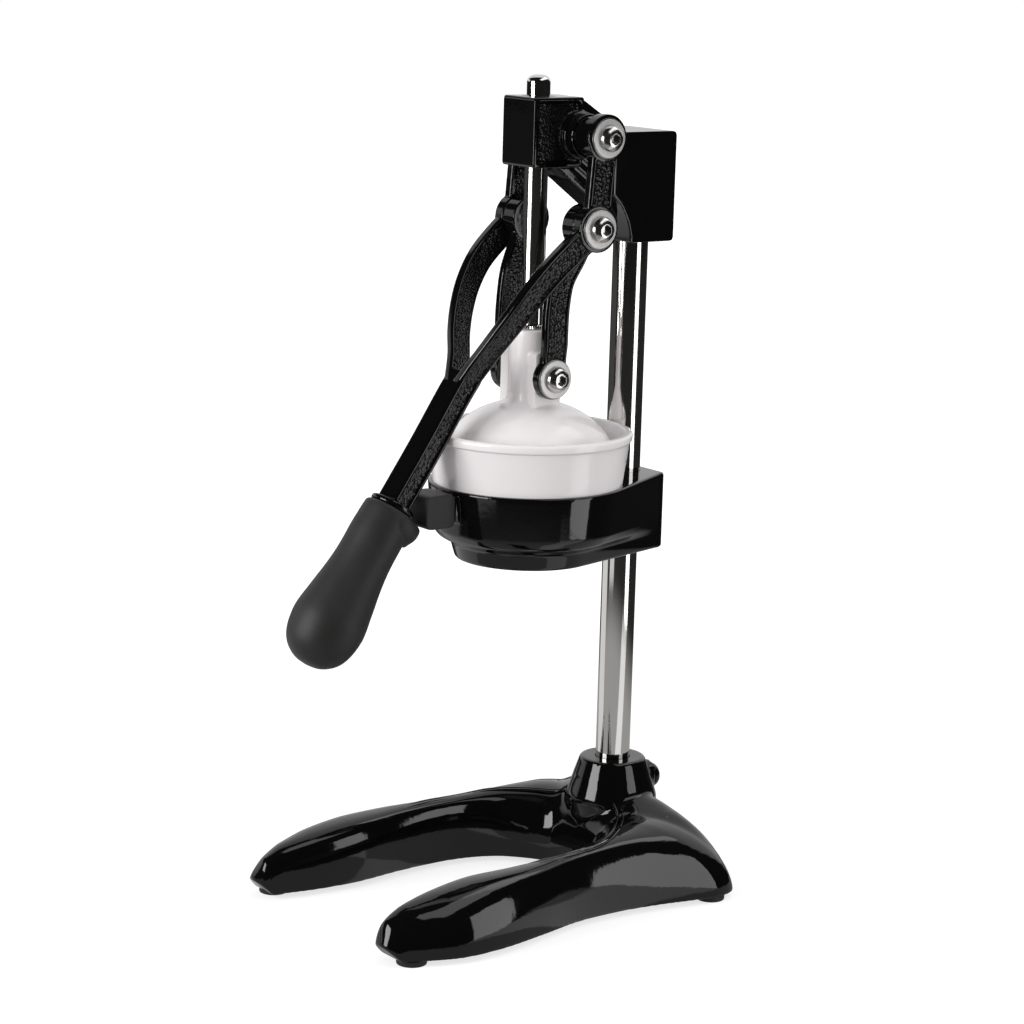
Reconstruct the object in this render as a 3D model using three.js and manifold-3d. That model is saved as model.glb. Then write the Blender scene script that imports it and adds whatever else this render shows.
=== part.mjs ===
// Lever citrus press: a handle fork turns on a cast head, two curved links carry a ram and a bell
// down into a strainer cup, and one polished column ties the head and the cup holder to the base.
import * as THREE from 'three';
import { mergeVertices, toCreasedNormals } from 'three/addons/utils/BufferGeometryUtils.js';
import Module from 'manifold-3d';

const wasm = await Module();
wasm.setup();

// Driving dimensions in millimetres. X is to the right, Y to the back, Z up.
// The ram axis is x = 0, y = 0, and the table is z = 0.
const seatGap = 0.3;
const overrun = 2;
const columnRadius = 9.5;
const columnSetBack = 65.5;
const ramRadius = 6.2;
const pivotSetBack = 17.5;
const pivotHeight = 413.5;
const crankLength = 47;
const linkLength = 81.3;
const crankLean = THREE.MathUtils.degToRad(4.6);
const footHeight = 3;

// Places that follow from the linkage at rest.
const linkPivotY = pivotSetBack - crankLength * Math.sin(crankLean);
const linkPivotZ = pivotHeight - crankLength * Math.cos(crankLean);
const linkLean = Math.asin(linkPivotY / linkLength);
const ramPivotZ = linkPivotZ - linkLength * Math.cos(linkLean);

// The stack of pieces along each pivot, outwards from the middle of the press.
const bossReach = 22;
const hubInner = 21;
const hubOuter = 30.6;
const crankInner = 30.9;
const crankOuter = 37.4;
const washerThickness = 0.9;
const lugReach = 15.6;
const eyeInner = 15.9;
const eyeOuter = 20.9;
const boltRadius = 4;
const boltBore = 4.3;

// Geometry helpers.
const creaseAngle = THREE.MathUtils.degToRad(32);
const roundSteps = 30;
const smallSteps = 16;

const onX = new THREE.Matrix4().makeBasis(
  new THREE.Vector3(0, 1, 0), new THREE.Vector3(0, 0, 1), new THREE.Vector3(1, 0, 0));

// Merges shared corners, drops slivers of no area and turns the faces outwards.
function closed(source) {
  const bare = source.clone();
  bare.deleteAttribute('normal');
  bare.deleteAttribute('uv');
  const merged = mergeVertices(bare);
  const from = merged.index.array;
  const place = merged.attributes.position;
  const a = new THREE.Vector3();
  const b = new THREE.Vector3();
  const c = new THREE.Vector3();
  const kept = [];
  let volume = 0;
  for (let i = 0; i < from.length; i += 3) {
    const [p, q, r] = [from[i], from[i + 1], from[i + 2]];
    if (p === q || q === r || r === p) continue;
    a.fromBufferAttribute(place, p);
    b.fromBufferAttribute(place, q);
    c.fromBufferAttribute(place, r);
    volume += a.dot(b.cross(c));
    kept.push(p, q, r);
  }
  if (volume < 0) {
    for (let i = 0; i < kept.length; i += 3) {
      [kept[i + 1], kept[i + 2]] = [kept[i + 2], kept[i + 1]];
    }
  }
  merged.setIndex(kept);
  return merged;
}

function solid(geometry) {
  const shape = closed(geometry);
  return new wasm.Manifold(new wasm.Mesh({
    numProp: 3,
    vertProperties: new Float32Array(shape.attributes.position.array),
    triVerts: new Uint32Array(shape.index.array),
  }));
}

function join(geometries) {
  return geometries.map(solid).reduce((sum, next) => sum.add(next));
}

function cut(body, geometries) {
  return geometries.map(solid).reduce((rest, next) => rest.subtract(next), body);
}

function skin(body) {
  const mesh = body.getMesh();
  const geometry = new THREE.BufferGeometry();
  geometry.setAttribute('position', new THREE.BufferAttribute(mesh.vertProperties, 3));
  geometry.setIndex(new THREE.BufferAttribute(mesh.triVerts, 1));
  return toCreasedNormals(geometry, creaseAngle);
}

function mirrored(geometry) {
  return toCreasedNormals(closed(geometry.clone().scale(-1, 1, 1)), creaseAngle);
}

function barX(radius, from, to, y = 0, z = 0, steps = smallSteps) {
  return new THREE.CylinderGeometry(radius, radius, to - from, steps)
    .rotateZ(Math.PI / 2).translate((from + to) / 2, y, z);
}

function barY(radius, from, to, x = 0, z = 0, steps = smallSteps) {
  return new THREE.CylinderGeometry(radius, radius, to - from, steps)
    .translate(x, (from + to) / 2, z);
}

function barZ(radius, from, to, x = 0, y = 0, steps = roundSteps) {
  return new THREE.CylinderGeometry(radius, radius, to - from, steps)
    .rotateX(Math.PI / 2).translate(x, y, (from + to) / 2);
}

// Turns a profile of [radius, height] pairs about the Z axis.
function turned(profile, steps = roundSteps) {
  const points = profile.map(([r, z]) => new THREE.Vector2(r, z));
  return new THREE.LatheGeometry(points, steps).rotateX(Math.PI / 2);
}

// Extrudes an outline drawn in Y and Z along X, with its edges broken by a small bevel.
function slab(shape, from, to, edge = 0) {
  return new THREE.ExtrudeGeometry(shape, {
    depth: to - from - 2 * edge,
    bevelEnabled: edge > 0,
    bevelThickness: edge,
    bevelSize: edge,
    bevelOffset: -edge,
    bevelSegments: 1,
    curveSegments: 4,
  }).translate(0, 0, from + edge).applyMatrix4(onX);
}

// An outline through corners [y, z, radius], each rounded by its own radius.
function rounded(corners) {
  const shape = new THREE.Shape();
  const count = corners.length;
  corners.forEach(([x, y, radius = 0], i) => {
    const here = new THREE.Vector2(x, y);
    const before = new THREE.Vector2(...corners[(i + count - 1) % count]).sub(here);
    const after = new THREE.Vector2(...corners[(i + 1) % count]).sub(here);
    const half = Math.acos(before.dot(after) / before.length() / after.length()) / 2;
    const back = Math.min(radius / Math.tan(half), before.length() / 2, after.length() / 2);
    const enter = here.clone().add(before.setLength(back));
    const leave = here.clone().add(after.setLength(back));
    if (i === 0) shape.moveTo(enter.x, enter.y);
    else shape.lineTo(enter.x, enter.y);
    if (radius > 0) shape.quadraticCurveTo(here.x, here.y, leave.x, leave.y);
  });
  shape.closePath();
  return shape;
}

function box(yFrom, yTo, zFrom, zTo, radius) {
  return rounded([
    [yFrom, zFrom, radius], [yTo, zFrom, radius], [yTo, zTo, radius], [yFrom, zTo, radius]]);
}

// Skins a row of rings that have as many points each, and closes both ends with a fan.
function loft(rings) {
  const size = rings[0].length;
  const places = [];
  const faces = [];
  rings.forEach((ring) => ring.forEach((point) => places.push(point.x, point.y, point.z)));
  for (let r = 0; r + 1 < rings.length; r += 1) {
    for (let i = 0; i < size; i += 1) {
      const next = (i + 1) % size;
      const [a, b, c, d] = [r * size + i, r * size + next, (r + 1) * size + i, (r + 1) * size + next];
      faces.push(a, b, d, a, d, c);
    }
  }
  const closeEnd = (ring, first, turn) => {
    const middle = ring.reduce((sum, point) => sum.add(point), new THREE.Vector3());
    middle.divideScalar(size);
    const hub = places.length / 3;
    places.push(middle.x, middle.y, middle.z);
    for (let i = 0; i < size; i += 1) {
      const next = (i + 1) % size;
      faces.push(hub, first + (turn ? i : next), first + (turn ? next : i));
    }
  };
  closeEnd(rings[0], 0, false);
  closeEnd(rings[rings.length - 1], (rings.length - 1) * size, true);
  const geometry = new THREE.BufferGeometry();
  geometry.setAttribute('position', new THREE.Float32BufferAttribute(places, 3));
  geometry.setIndex(faces);
  return geometry;
}

// A bar section with a sunk panel on its outer side, and on its inner side too where both is set.
function channel(halfThick, halfWide, rim, depth, chamfer, both) {
  const panel = [
    [halfThick, -halfWide + rim], [halfThick - depth, -halfWide + rim + depth],
    [halfThick - depth, halfWide - rim - depth], [halfThick, halfWide - rim]];
  const outer = [
    [halfThick - chamfer, -halfWide], [halfThick, -halfWide + chamfer], ...panel,
    [halfThick, halfWide - chamfer], [halfThick - chamfer, halfWide]];
  const inner = both
    ? outer.map(([a, b]) => [-a, b]).reverse()
    : [[-halfThick + chamfer, halfWide], [-halfThick, halfWide - chamfer],
      [-halfThick, -halfWide + chamfer], [-halfThick + chamfer, -halfWide]];
  return [...outer, ...inner];
}

// Sets sections square to a route in the YZ plane, with their thickness along X.
function sweep(route, steps, sectionAt) {
  return loft(Array.from({ length: steps + 1 }, (_, i) => {
    const t = i / steps;
    const point = route.getPoint(t);
    const along = route.getTangent(t).setX(0).normalize();
    return sectionAt(t).map(([a, b]) => new THREE.Vector3(
      point.x + a, point.y - along.z * b, point.z + along.y * b));
  }));
}

const route = (points) => new THREE.CatmullRomCurve3(
  points.map((point) => new THREE.Vector3(...point)), false, 'centripetal');

const finishes = {
  blackPaint: { color: 0x0c0c0d, roughness: 0.16, metalness: 0 },
  polishedSteel: { color: 0xc9cbce, roughness: 0.1, metalness: 1 },
  stainless: { color: 0xb9b7b4, roughness: 0.25, metalness: 1 },
  darkSteel: { color: 0x77767a, roughness: 0.35, metalness: 1 },
  whitePlastic: { color: 0xe9e6e6, roughness: 0.22, metalness: 0 },
  softRubber: { color: 0x201f1f, roughness: 0.75, metalness: 0 },
};

function piece(name, geometry, finish, parent) {
  const mesh = new THREE.Mesh(geometry, new THREE.MeshStandardMaterial(finishes[finish]));
  mesh.name = name;
  parent.add(mesh);
  return mesh;
}

const press = new THREE.Group();
const stand = new THREE.Group();
const handle = new THREE.Group();
const ram = new THREE.Group();
press.add(stand, handle, ram);
handle.position.set(0, pivotSetBack, pivotHeight);
ram.position.set(0, 0, ramPivotZ);

// Base casting: a U of two long legs, two short rear feet and a boss for the column.
const baseHalfWidth = 83;
const baseFront = 134;
const baseRear = 97;
const baseCrown = 50;
const baseWall = 5;
const baseBossTop = 66;
const baseBossRadius = 18.4;
const baseBossFlare = 7.6;
const baseClampSeat = 92;
const baseClampHeight = 50.5;
const baseClampPad = 9;
const baseSocketFloor = 6;
const baseHollowWidth = 30;
const toeUndercut = 9.5;
const frontFootX = baseHalfWidth - 17;
const frontFootY = 18.5 - baseFront;
const rearFootX = baseHalfWidth - 12;
const rearFootY = baseRear - 17;
const footRadius = 8;
const footEdge = 1;

// Half of the U from the toe to the middle of its bend. Each row has the inner edge, the outer edge,
// as x share of the half width and y share of the front or rear reach, then the crown's height share,
// its place between the edges, and the fullness of the inner and the outer flank.
const baseShares = [
  [0.76, -1, 0.79, -1, 0.1, 0.5, 2, 2],
  [0.69, -0.985, 0.835, -0.965, 0.28, 0.47, 2.1, 2],
  [0.635, -0.965, 0.87, -0.91, 0.44, 0.39, 2.4, 2],
  [0.61, -0.885, 0.925, -0.83, 0.565, 0.35, 2.8, 1.9],
  [0.565, -0.735, 0.99, -0.705, 0.655, 0.395, 3.1, 2],
  [0.55, -0.545, 0.99, -0.52, 0.72, 0.445, 3.4, 2.1],
  [0.59, -0.32, 0.925, -0.295, 0.735, 0.48, 3.5, 2.2],
  [0.6, -0.1, 0.85, -0.075, 0.745, 0.46, 3.5, 2.1],
  [0.565, 0.045, 0.84, 0.185, 0.765, 0.425, 3.4, 1.95],
  [0.49, 0.19, 0.875, 0.445, 0.795, 0.395, 3, 1.8],
  [0.39, 0.28, 0.93, 0.67, 0.815, 0.37, 2.8, 1.8],
  [0.3, 0.34, 0.96, 0.83, 0.83, 0.365, 2.6, 1.75],
  [0.22, 0.375, 0.905, 0.96, 0.83, 0.365, 2.5, 1.75],
  [0.155, 0.39, 0.73, 0.995, 0.9, 0.395, 2.4, 2.05],
  [0.09, 0.397, 0.43, 0.965, 0.99, 0.455, 2.3, 2.2],
  [0, 0.4, 0, 0.95, 1, 0.48, 2.2, 2.2],
];
const baseQuarterSteps = 5;
const baseStations = 24;
const baseHollowStations = 12;

function baseCurves() {
  const reach = (share) => share * (share < 0 ? baseFront : baseRear);
  const edge = (x, y) => baseShares.map((row) => [row[x] * baseHalfWidth, reach(row[y]), 0]);
  return {
    inner: route(edge(0, 1)),
    outer: route(edge(2, 3)),
    crown: route(baseShares.map((row) => [row[4] * baseCrown, row[5], 0])),
    flank: route(baseShares.map((row) => [row[6], row[7], 0])),
  };
}

// One section across the U: two quarter ovals that meet at the crown, over a flat sole.
function baseSection(curves, t, inset, widest, sole) {
  const inner = curves.inner.getPoint(t);
  const outer = curves.outer.getPoint(t);
  const [height, middle] = curves.crown.getPoint(t).toArray();
  const [innerFull, outerFull] = curves.flank.getPoint(t).toArray();
  const across = outer.clone().sub(inner);
  const width = Math.min(across.length() - 2 * inset, widest);
  across.normalize();
  const start = inner.clone().addScaledVector(across, inset);
  across.multiplyScalar(width);
  const rise = height - footHeight - inset;
  const ring = [];
  const put = (share, lift) => ring.push(new THREE.Vector3(
    start.x + across.x * share, start.y + across.y * share, footHeight + rise * lift));
  for (let i = 0; i <= 2 * baseQuarterSteps; i += 1) {
    const angle = (i / baseQuarterSteps) * (Math.PI / 2);
    const full = angle <= Math.PI / 2 ? innerFull : outerFull;
    const run = Math.sign(Math.cos(angle)) * Math.abs(Math.cos(angle)) ** (2 / full);
    const span = run > 0 ? middle : 1 - middle;
    put(middle - run * span, Math.max(Math.sin(angle), 0) ** (2 / full));
  }
  if (sole < footHeight) {
    ring[0].z = sole;
    ring[ring.length - 1].z = sole;
  }
  return ring;
}

function baseLoft(inset, widest, sole, from, stations) {
  const curves = baseCurves();
  const right = [];
  for (let i = 0; i <= stations; i += 1) {
    const t = from + (1 - from) * (i / stations);
    right.push(baseSection(curves, t, inset, widest, sole));
  }
  const left = right.slice(0, -1).reverse()
    .map((ring) => ring.map((point) => new THREE.Vector3(-point.x, point.y, point.z)));
  return loft([...right, ...left]);
}

{
  const flareRadius = baseBossRadius + baseBossFlare;
  const boss = turned([
    [0, baseCrown * 0.5], [baseBossRadius, baseCrown * 0.5], [flareRadius, baseCrown * 0.86],
    [baseBossRadius, baseBossTop - footEdge], [baseBossRadius - footEdge, baseBossTop],
    [0, baseBossTop]]).translate(0, columnSetBack, 0);
  const pad = barY(baseClampPad, columnSetBack, baseClampSeat, 0, baseClampHeight);
  const socket = barZ(columnRadius + baseWall, footHeight, baseCrown, 0, columnSetBack);
  const fromShare = 0.27;
  const hollow = baseLoft(
    baseWall, baseHollowWidth, footHeight - overrun, fromShare, baseHollowStations);
  const toeSole = toeUndercut - baseFront;
  const toeCut = slab(rounded([
    [toeSole + overrun, footHeight - overrun],
    [-baseFront - overrun, footHeight - overrun],
    [-baseFront - overrun, footHeight + toeUndercut + overrun]]), -baseHalfWidth, baseHalfWidth);
  const body = cut(solid(baseLoft(0, 2 * baseHalfWidth, footHeight, 0, baseStations)), [toeCut])
    .add(join([boss, pad]));
  const open = cut(body, [hollow]).add(solid(socket));
  piece('base_casting', skin(cut(open, [
    barZ(columnRadius + seatGap, footHeight + baseSocketFloor, baseBossTop + overrun, 0, columnSetBack),
    barY(boltBore, columnSetBack, baseClampSeat + overrun, 0, baseClampHeight),
  ])), 'blackPaint', stand);
}

for (const [name, x, y] of [
  ['foot_front_left', -frontFootX, frontFootY], ['foot_front_right', frontFootX, frontFootY],
  ['foot_rear_left', -rearFootX, rearFootY], ['foot_rear_right', rearFootX, rearFootY],
]) {
  const foot = piece(name, closed(turned([
    [0, 0], [footRadius - footEdge, 0], [footRadius, footEdge], [footRadius, footHeight],
    [0, footHeight]], smallSteps)), 'softRubber', stand);
  foot.position.set(x, y, 0);
}

// Column: one polished bar that stands on the socket floor and ends inside the head.
const clampTop = pivotHeight + 1.5;
const clampBottom = pivotHeight - 57.4;
const columnTop = clampTop - 15;
const columnFoot = footHeight + baseSocketFloor;
piece('column', closed(turned([
  [0, columnFoot], [columnRadius - footEdge, columnFoot], [columnRadius, columnFoot + footEdge],
  [columnRadius, columnTop - footEdge], [columnRadius - footEdge, columnTop], [0, columnTop],
])), 'polishedSteel', stand).position.set(0, columnSetBack, 0);

// Socket screws: a domed head with a hexagon socket over a plain shank, drawn along Z.
const buttonRadius = 7;
const buttonHeight = 4.8;
const socketWidth = 5;
const socketDepth = 2.8;

function buttonScrew(shankRadius, shankLength) {
  const head = turned([
    [0, -shankLength], [shankRadius, -shankLength], [shankRadius, 0], [buttonRadius, 0],
    [buttonRadius, buttonHeight * 0.25], [buttonRadius * 0.93, buttonHeight * 0.55],
    [buttonRadius * 0.76, buttonHeight * 0.83], [buttonRadius * 0.52, buttonHeight],
    [0, buttonHeight]], smallSteps);
  const corner = socketWidth / 2 / Math.cos(Math.PI / 6);
  const socket = barZ(corner, buttonHeight - socketDepth, buttonHeight + overrun, 0, 0, 6);
  return skin(cut(solid(head), [socket]));
}

function setScrew(radius, length) {
  const corner = socketWidth * 0.4 / Math.cos(Math.PI / 6);
  const socket = barZ(corner, length - socketDepth, length + overrun, 0, 0, 6);
  return skin(cut(solid(barZ(radius, 0, length, 0, 0, smallSteps)), [socket]));
}

const columnBack = columnSetBack + columnRadius + seatGap;
const clampScrew = piece('base_clamp_screw', buttonScrew(
  boltRadius, baseClampSeat - columnBack), 'blackPaint', stand);
clampScrew.rotation.x = -Math.PI / 2;
clampScrew.position.set(0, baseClampSeat + seatGap, baseClampHeight);

// Head casting: the ram block in front, the column block behind, a ribbed web between them and a
// cross boss that carries the handle.
const blockHalf = 13.9;
const blockFront = -12.5;
const blockBack = 19.9;
const blockTop = pivotHeight + 19.7;
const blockBottom = pivotHeight - 16.7;
const blockRim = 2.5;
const panelDepth = 1.2;
const clampHalf = 20;
const clampFront = 36.9;
const clampBack = 78.6;
const clampCorner = 2.5;
const scallopRadius = 36.8;
const scallopY = 12.8;
const scallopZ = clampBottom - 2.1;
const webHalf = 10;
const webEndY = 49.5;
const webFootY = 6;
const webSlope = 0.73;
const webGrooves = 3;
const webGrooveWidth = 3.2;
const webGroovePitch = 5.6;
const webGrooveDepth = 1;
const castEdge = 1;
const bossRadius = 11.5;
const bossCollar = 1.1;
const bossCollarReach = 15.2;
const bushWall = 2.2;
const headScrewHeight = (clampTop + clampBottom) / 2;

{
  const block = slab(box(blockFront, blockBack, blockBottom, blockTop, 2 * castEdge),
    -blockHalf, blockHalf, castEdge);
  const clampBlock = slab(box(clampFront, clampBack, clampBottom, clampTop, clampCorner),
    -clampHalf, clampHalf, castEdge);
  const scallop = barX(scallopRadius, -clampHalf - overrun, clampHalf + overrun,
    scallopY, scallopZ, 2 * roundSteps);
  const webMiddle = (clampFront + clampBack) / 2;
  const webFootZ = blockBottom - webSlope * (webEndY - webFootY);
  const web = slab(rounded([
    [webFootY, blockBottom + castEdge], [webFootY, blockBottom], [webEndY, webFootZ],
    [webMiddle, webFootZ], [webMiddle, clampTop], [webEndY, clampTop, clampCorner],
    [blockBack, blockTop, castEdge], [0, blockTop]]), -webHalf, webHalf);
  const lean = Math.atan(webSlope);
  const grooves = [];
  for (let i = 0; i < webGrooves; i += 1) {
    const rise = (i + 0.8) * webGroovePitch / Math.cos(lean);
    const width = webGrooveWidth / Math.cos(lean);
    const at = (y, lift) => [y, blockBottom + webSlope * (webFootY - y) + rise + lift];
    const outline = rounded([
      at(webFootY, 0), at(clampFront, 0), at(clampFront, width), at(webFootY, width)]);
    grooves.push(slab(outline, webHalf - webGrooveDepth, webHalf + overrun));
    grooves.push(slab(outline, -webHalf - overrun, -webHalf + webGrooveDepth));
  }
  const panel = box(blockFront + blockRim, blockBack - blockRim, blockBottom + blockRim,
    blockTop - blockRim, blockRim / 2);
  const panels = [
    slab(panel, blockHalf - panelDepth, blockHalf + overrun),
    slab(panel, -blockHalf - overrun, -blockHalf + panelDepth)];
  const body = cut(solid(clampBlock), [scallop])
    .add(cut(solid(web), grooves))
    .add(cut(solid(block), panels))
    .add(join([
      barX(bossRadius, -bossReach, bossReach, pivotSetBack, pivotHeight, roundSteps),
      barX(bossRadius + bossCollar, -bossCollarReach, bossCollarReach, pivotSetBack,
        pivotHeight, roundSteps)]));
  const boltEnd = bossReach - bossRadius;
  piece('head_casting', skin(cut(body, [
    barZ(ramRadius + bushWall + seatGap, clampBottom, blockTop + overrun),
    barZ(columnRadius + seatGap, clampBottom - overrun, columnTop + seatGap, 0, columnSetBack),
    barX(boltBore, boltEnd, bossReach + overrun, pivotSetBack, pivotHeight),
    barX(boltBore, -bossReach - overrun, -boltEnd, pivotSetBack, pivotHeight),
    barY(boltBore, columnSetBack, clampBack + overrun, 0, headScrewHeight)])),
  'blackPaint', stand);
}

const headScrew = piece('head_set_screw', setScrew(boltRadius, clampBack - columnBack),
  'darkSteel', stand);
headScrew.rotation.x = -Math.PI / 2;
headScrew.position.set(0, columnBack, headScrewHeight);

piece('ram_bush', closed(turned([
  [ramRadius + seatGap / 2, blockBottom], [ramRadius + bushWall, blockBottom],
  [ramRadius + bushWall, blockTop], [ramRadius + seatGap / 2, blockTop],
  [ramRadius + seatGap / 2, blockBottom]])), 'darkSteel', stand);

// Cup holder: two teardrop tiers round the cup, drawn back to a block that clamps the column.
// The bell's mouth sets the height of the cup, and the cup that of the holder and the bumper.
const bellBottom = ramPivotZ - 46.5;
const cupSeat = bellBottom - 30;
const holderTop = cupSeat + 19;
const holderBottom = cupSeat - 22.8;
const holderStep = cupSeat - 5.3;
const holderShoulder = cupSeat - 13.9;
const holderTopRadius = 53.4;
const holderStepRadius = 50.9;
const holderWaistRadius = 40.7;
const holderLowRadius = 38.3;
// The hollow sweep under the upper tier: shares of the way out and of the way up.
const holderSweepShares = [[0, 0], [0.37, 0.25], [0.7, 0.49], [1, 1]];
const holderHalf = 20;
const holderBack = 81;
const holderCorner = 5;
const holderDrainRadius = 30;
const holderThroatRadius = 42;
const cupBore = 51.3;
const holderScrewHeight = cupSeat - 2;
const tongueHalf = 6.5;
const tongueBottom = cupSeat + 3.6;
const tongueTop = cupSeat + 15.4;
const tongueFront = -68;
const tongueRootFront = -54.6;

function teardrop(radius, half, back, height) {
  const sideY = back - holderCorner;
  const tangent = Math.atan2(sideY, half) - Math.acos(radius / Math.hypot(half, sideY));
  const ring = [];
  const arcSteps = roundSteps - 4;
  const sweepAngle = Math.PI + 2 * tangent;
  for (let i = 0; i <= arcSteps; i += 1) {
    const angle = tangent - sweepAngle * (i / arcSteps);
    ring.push(new THREE.Vector3(radius * Math.cos(angle), radius * Math.sin(angle), height));
  }
  for (let i = 0; i <= 6; i += 1) {
    const side = i < 4 ? -1 : 1;
    const turn = (i < 4 ? i : 7 - i) / 3 * (Math.PI / 2);
    if (i < 4 || turn > 0) {
      ring.push(new THREE.Vector3(side * (half - holderCorner * (1 - Math.cos(turn))),
        sideY + holderCorner * Math.sin(turn), height));
    }
  }
  ring.push(new THREE.Vector3(half, sideY, height));
  return ring;
}

{
  const body = loft([
    teardrop(holderLowRadius - castEdge, holderHalf - castEdge, holderBack - castEdge, holderBottom),
    teardrop(holderLowRadius, holderHalf, holderBack, holderBottom + castEdge),
    ...holderSweepShares.map(([out, up]) => teardrop(
      THREE.MathUtils.lerp(holderWaistRadius, holderStepRadius, out), holderHalf, holderBack,
      THREE.MathUtils.lerp(holderShoulder, holderStep, up))),
    teardrop(holderTopRadius, holderHalf, holderBack, holderTop - castEdge / 2),
    teardrop(holderTopRadius - castEdge / 2, holderHalf - castEdge / 2,
      holderBack - castEdge / 2, holderTop)]);
  const throat = turned([
    [0, holderBottom - overrun], [holderDrainRadius, holderBottom - overrun],
    [holderDrainRadius, holderBottom + castEdge], [holderThroatRadius, cupSeat - castEdge],
    [holderThroatRadius, cupSeat], [cupBore - castEdge, cupSeat], [cupBore, cupSeat + castEdge],
    [cupBore, holderTop + overrun], [0, holderTop + overrun]], roundSteps + 6);
  const tongue = slab(box(tongueFront, -holderStepRadius, tongueBottom, tongueTop, 2 * castEdge),
    -tongueHalf, tongueHalf, castEdge);
  const root = slab(box(tongueRootFront, -holderStepRadius + castEdge, tongueBottom - castEdge,
    tongueTop + castEdge, 2 * castEdge), -tongueHalf * 1.5, tongueHalf * 1.5, castEdge);
  piece('cup_holder', skin(cut(join([body, tongue, root]), [
    throat,
    barZ(columnRadius + seatGap, holderBottom - overrun, holderTop + overrun, 0, columnSetBack),
    barY(boltBore, columnSetBack, holderBack + overrun, 0, holderScrewHeight)])),
  'blackPaint', stand);
}

const holderScrew = piece('holder_set_screw', setScrew(boltRadius, holderBack - columnBack),
  'darkSteel', stand);
holderScrew.rotation.x = -Math.PI / 2;
holderScrew.position.set(0, columnBack, holderScrewHeight);

// Rest bumper: a soft block pushed over the tongue, where the handle comes down.
const bumperFront = -73.6;
const bumperBack = -54.9;
const bumperWall = 3;
const bumperBottom = tongueBottom - bumperWall;
const bumperTop = tongueTop + bumperWall;
const bumperHalf = 11;
const bumperCorner = 4;
const bumperEdge = 2.4;
piece('rest_bumper', skin(cut(
  solid(slab(box(bumperFront, bumperBack, bumperBottom, bumperTop, bumperCorner),
    -bumperHalf, bumperHalf, bumperEdge)),
  [slab(box(tongueFront - seatGap, bumperBack + overrun, tongueBottom - seatGap,
    tongueTop + seatGap, castEdge), -tongueHalf - seatGap, tongueHalf + seatGap)])),
'softRubber', stand);

// Strainer cup: a straight-sided bowl with a rolled lip and a slotted floor.
const cupRim = cupSeat + 47.4;
const cupLipRadius = 55.7;
const cupLipHeight = 6.6;
const cupWallTop = 54.1;
const cupWallMiddle = 51;
const cupFootRadius = 50;
const cupWall = 2.7;
const cupFloor = 2.5;
const slotCount = 16;
const slotInner = 30;
const slotOuter = 43;
const slotWidth = 3;

{
  const bottom = cupSeat + seatGap;
  const lipBottom = cupRim - cupLipHeight;
  const bowl = turned([
    [0, bottom], [cupFootRadius - footEdge, bottom], [cupFootRadius, bottom + footEdge],
    [cupWallMiddle, holderTop], [cupWallTop, lipBottom],
    [cupLipRadius - footEdge / 2, lipBottom + footEdge / 2],
    [cupLipRadius, lipBottom + 2 * footEdge], [cupLipRadius, cupRim - 2 * footEdge],
    [cupLipRadius - footEdge, cupRim - footEdge / 3], [cupLipRadius - 2 * footEdge, cupRim],
    [cupWallTop - cupWall + footEdge, cupRim - footEdge / 2],
    [cupWallTop - cupWall, cupRim - 2 * footEdge], [cupWallMiddle - cupWall, holderTop],
    [cupFootRadius - cupWall, bottom + cupFloor + footEdge],
    [cupFootRadius - cupWall - footEdge, bottom + cupFloor],
    [0, bottom + cupFloor]], roundSteps + 6);
  const slots = [];
  for (let i = 0; i < slotCount; i += 1) {
    slots.push(new THREE.BoxGeometry(slotOuter - slotInner, slotWidth, cupFloor + 2 * overrun)
      .translate((slotInner + slotOuter) / 2, 0, bottom + cupFloor / 2)
      .rotateZ((i / slotCount) * 2 * Math.PI));
  }
  piece('strainer_cup', skin(cut(solid(bowl), slots)), 'whitePlastic', stand);
}

// Reamer cone: ribbed from its foot to a blunt tip, standing on the cup floor.
const coneFootRadius = 26;
const coneHeight = 43;
const coneRibs = 10;
const coneRibDepth = 2.6;
const coneShares = [[0, 1, 0.4], [0.06, 1, 1], [0.3, 0.86, 1], [0.55, 0.66, 1], [0.78, 0.43, 0.8],
  [0.92, 0.24, 0.5], [0.99, 0.09, 0.2]];

{
  const foot = cupSeat + seatGap + cupFloor;
  const rings = coneShares.map(([rise, width, rib]) => {
    const ring = [];
    for (let i = 0; i < 4 * coneRibs; i += 1) {
      const angle = (i / (4 * coneRibs)) * 2 * Math.PI;
      const wave = (1 - Math.cos(angle * coneRibs)) / 2;
      const radius = width * (coneFootRadius - coneRibDepth * rib * wave);
      ring.push(new THREE.Vector3(
        radius * Math.cos(angle), radius * Math.sin(angle), foot + rise * coneHeight));
    }
    return ring;
  });
  piece('reamer_cone', toCreasedNormals(closed(loft(rings)), creaseAngle), 'whitePlastic', stand);
}

// Presser bell: a domed shell, open below, whose neck takes the ram and the two link bolts.
const bellRadius = 46.5;
const bellTop = bellBottom + 33;
const bellWall = 3;
const neckRadius = 12;
const neckTop = ramPivotZ + 24.7;
const neckFillet = 3;
const lugHalf = 8.5;
const lugTop = ramPivotZ + 13.5;
const insertRadius = 5.5;
const insertStart = 4;
const ramEnd = ramPivotZ + 8.5;
const bellSteps = 7;

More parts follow.
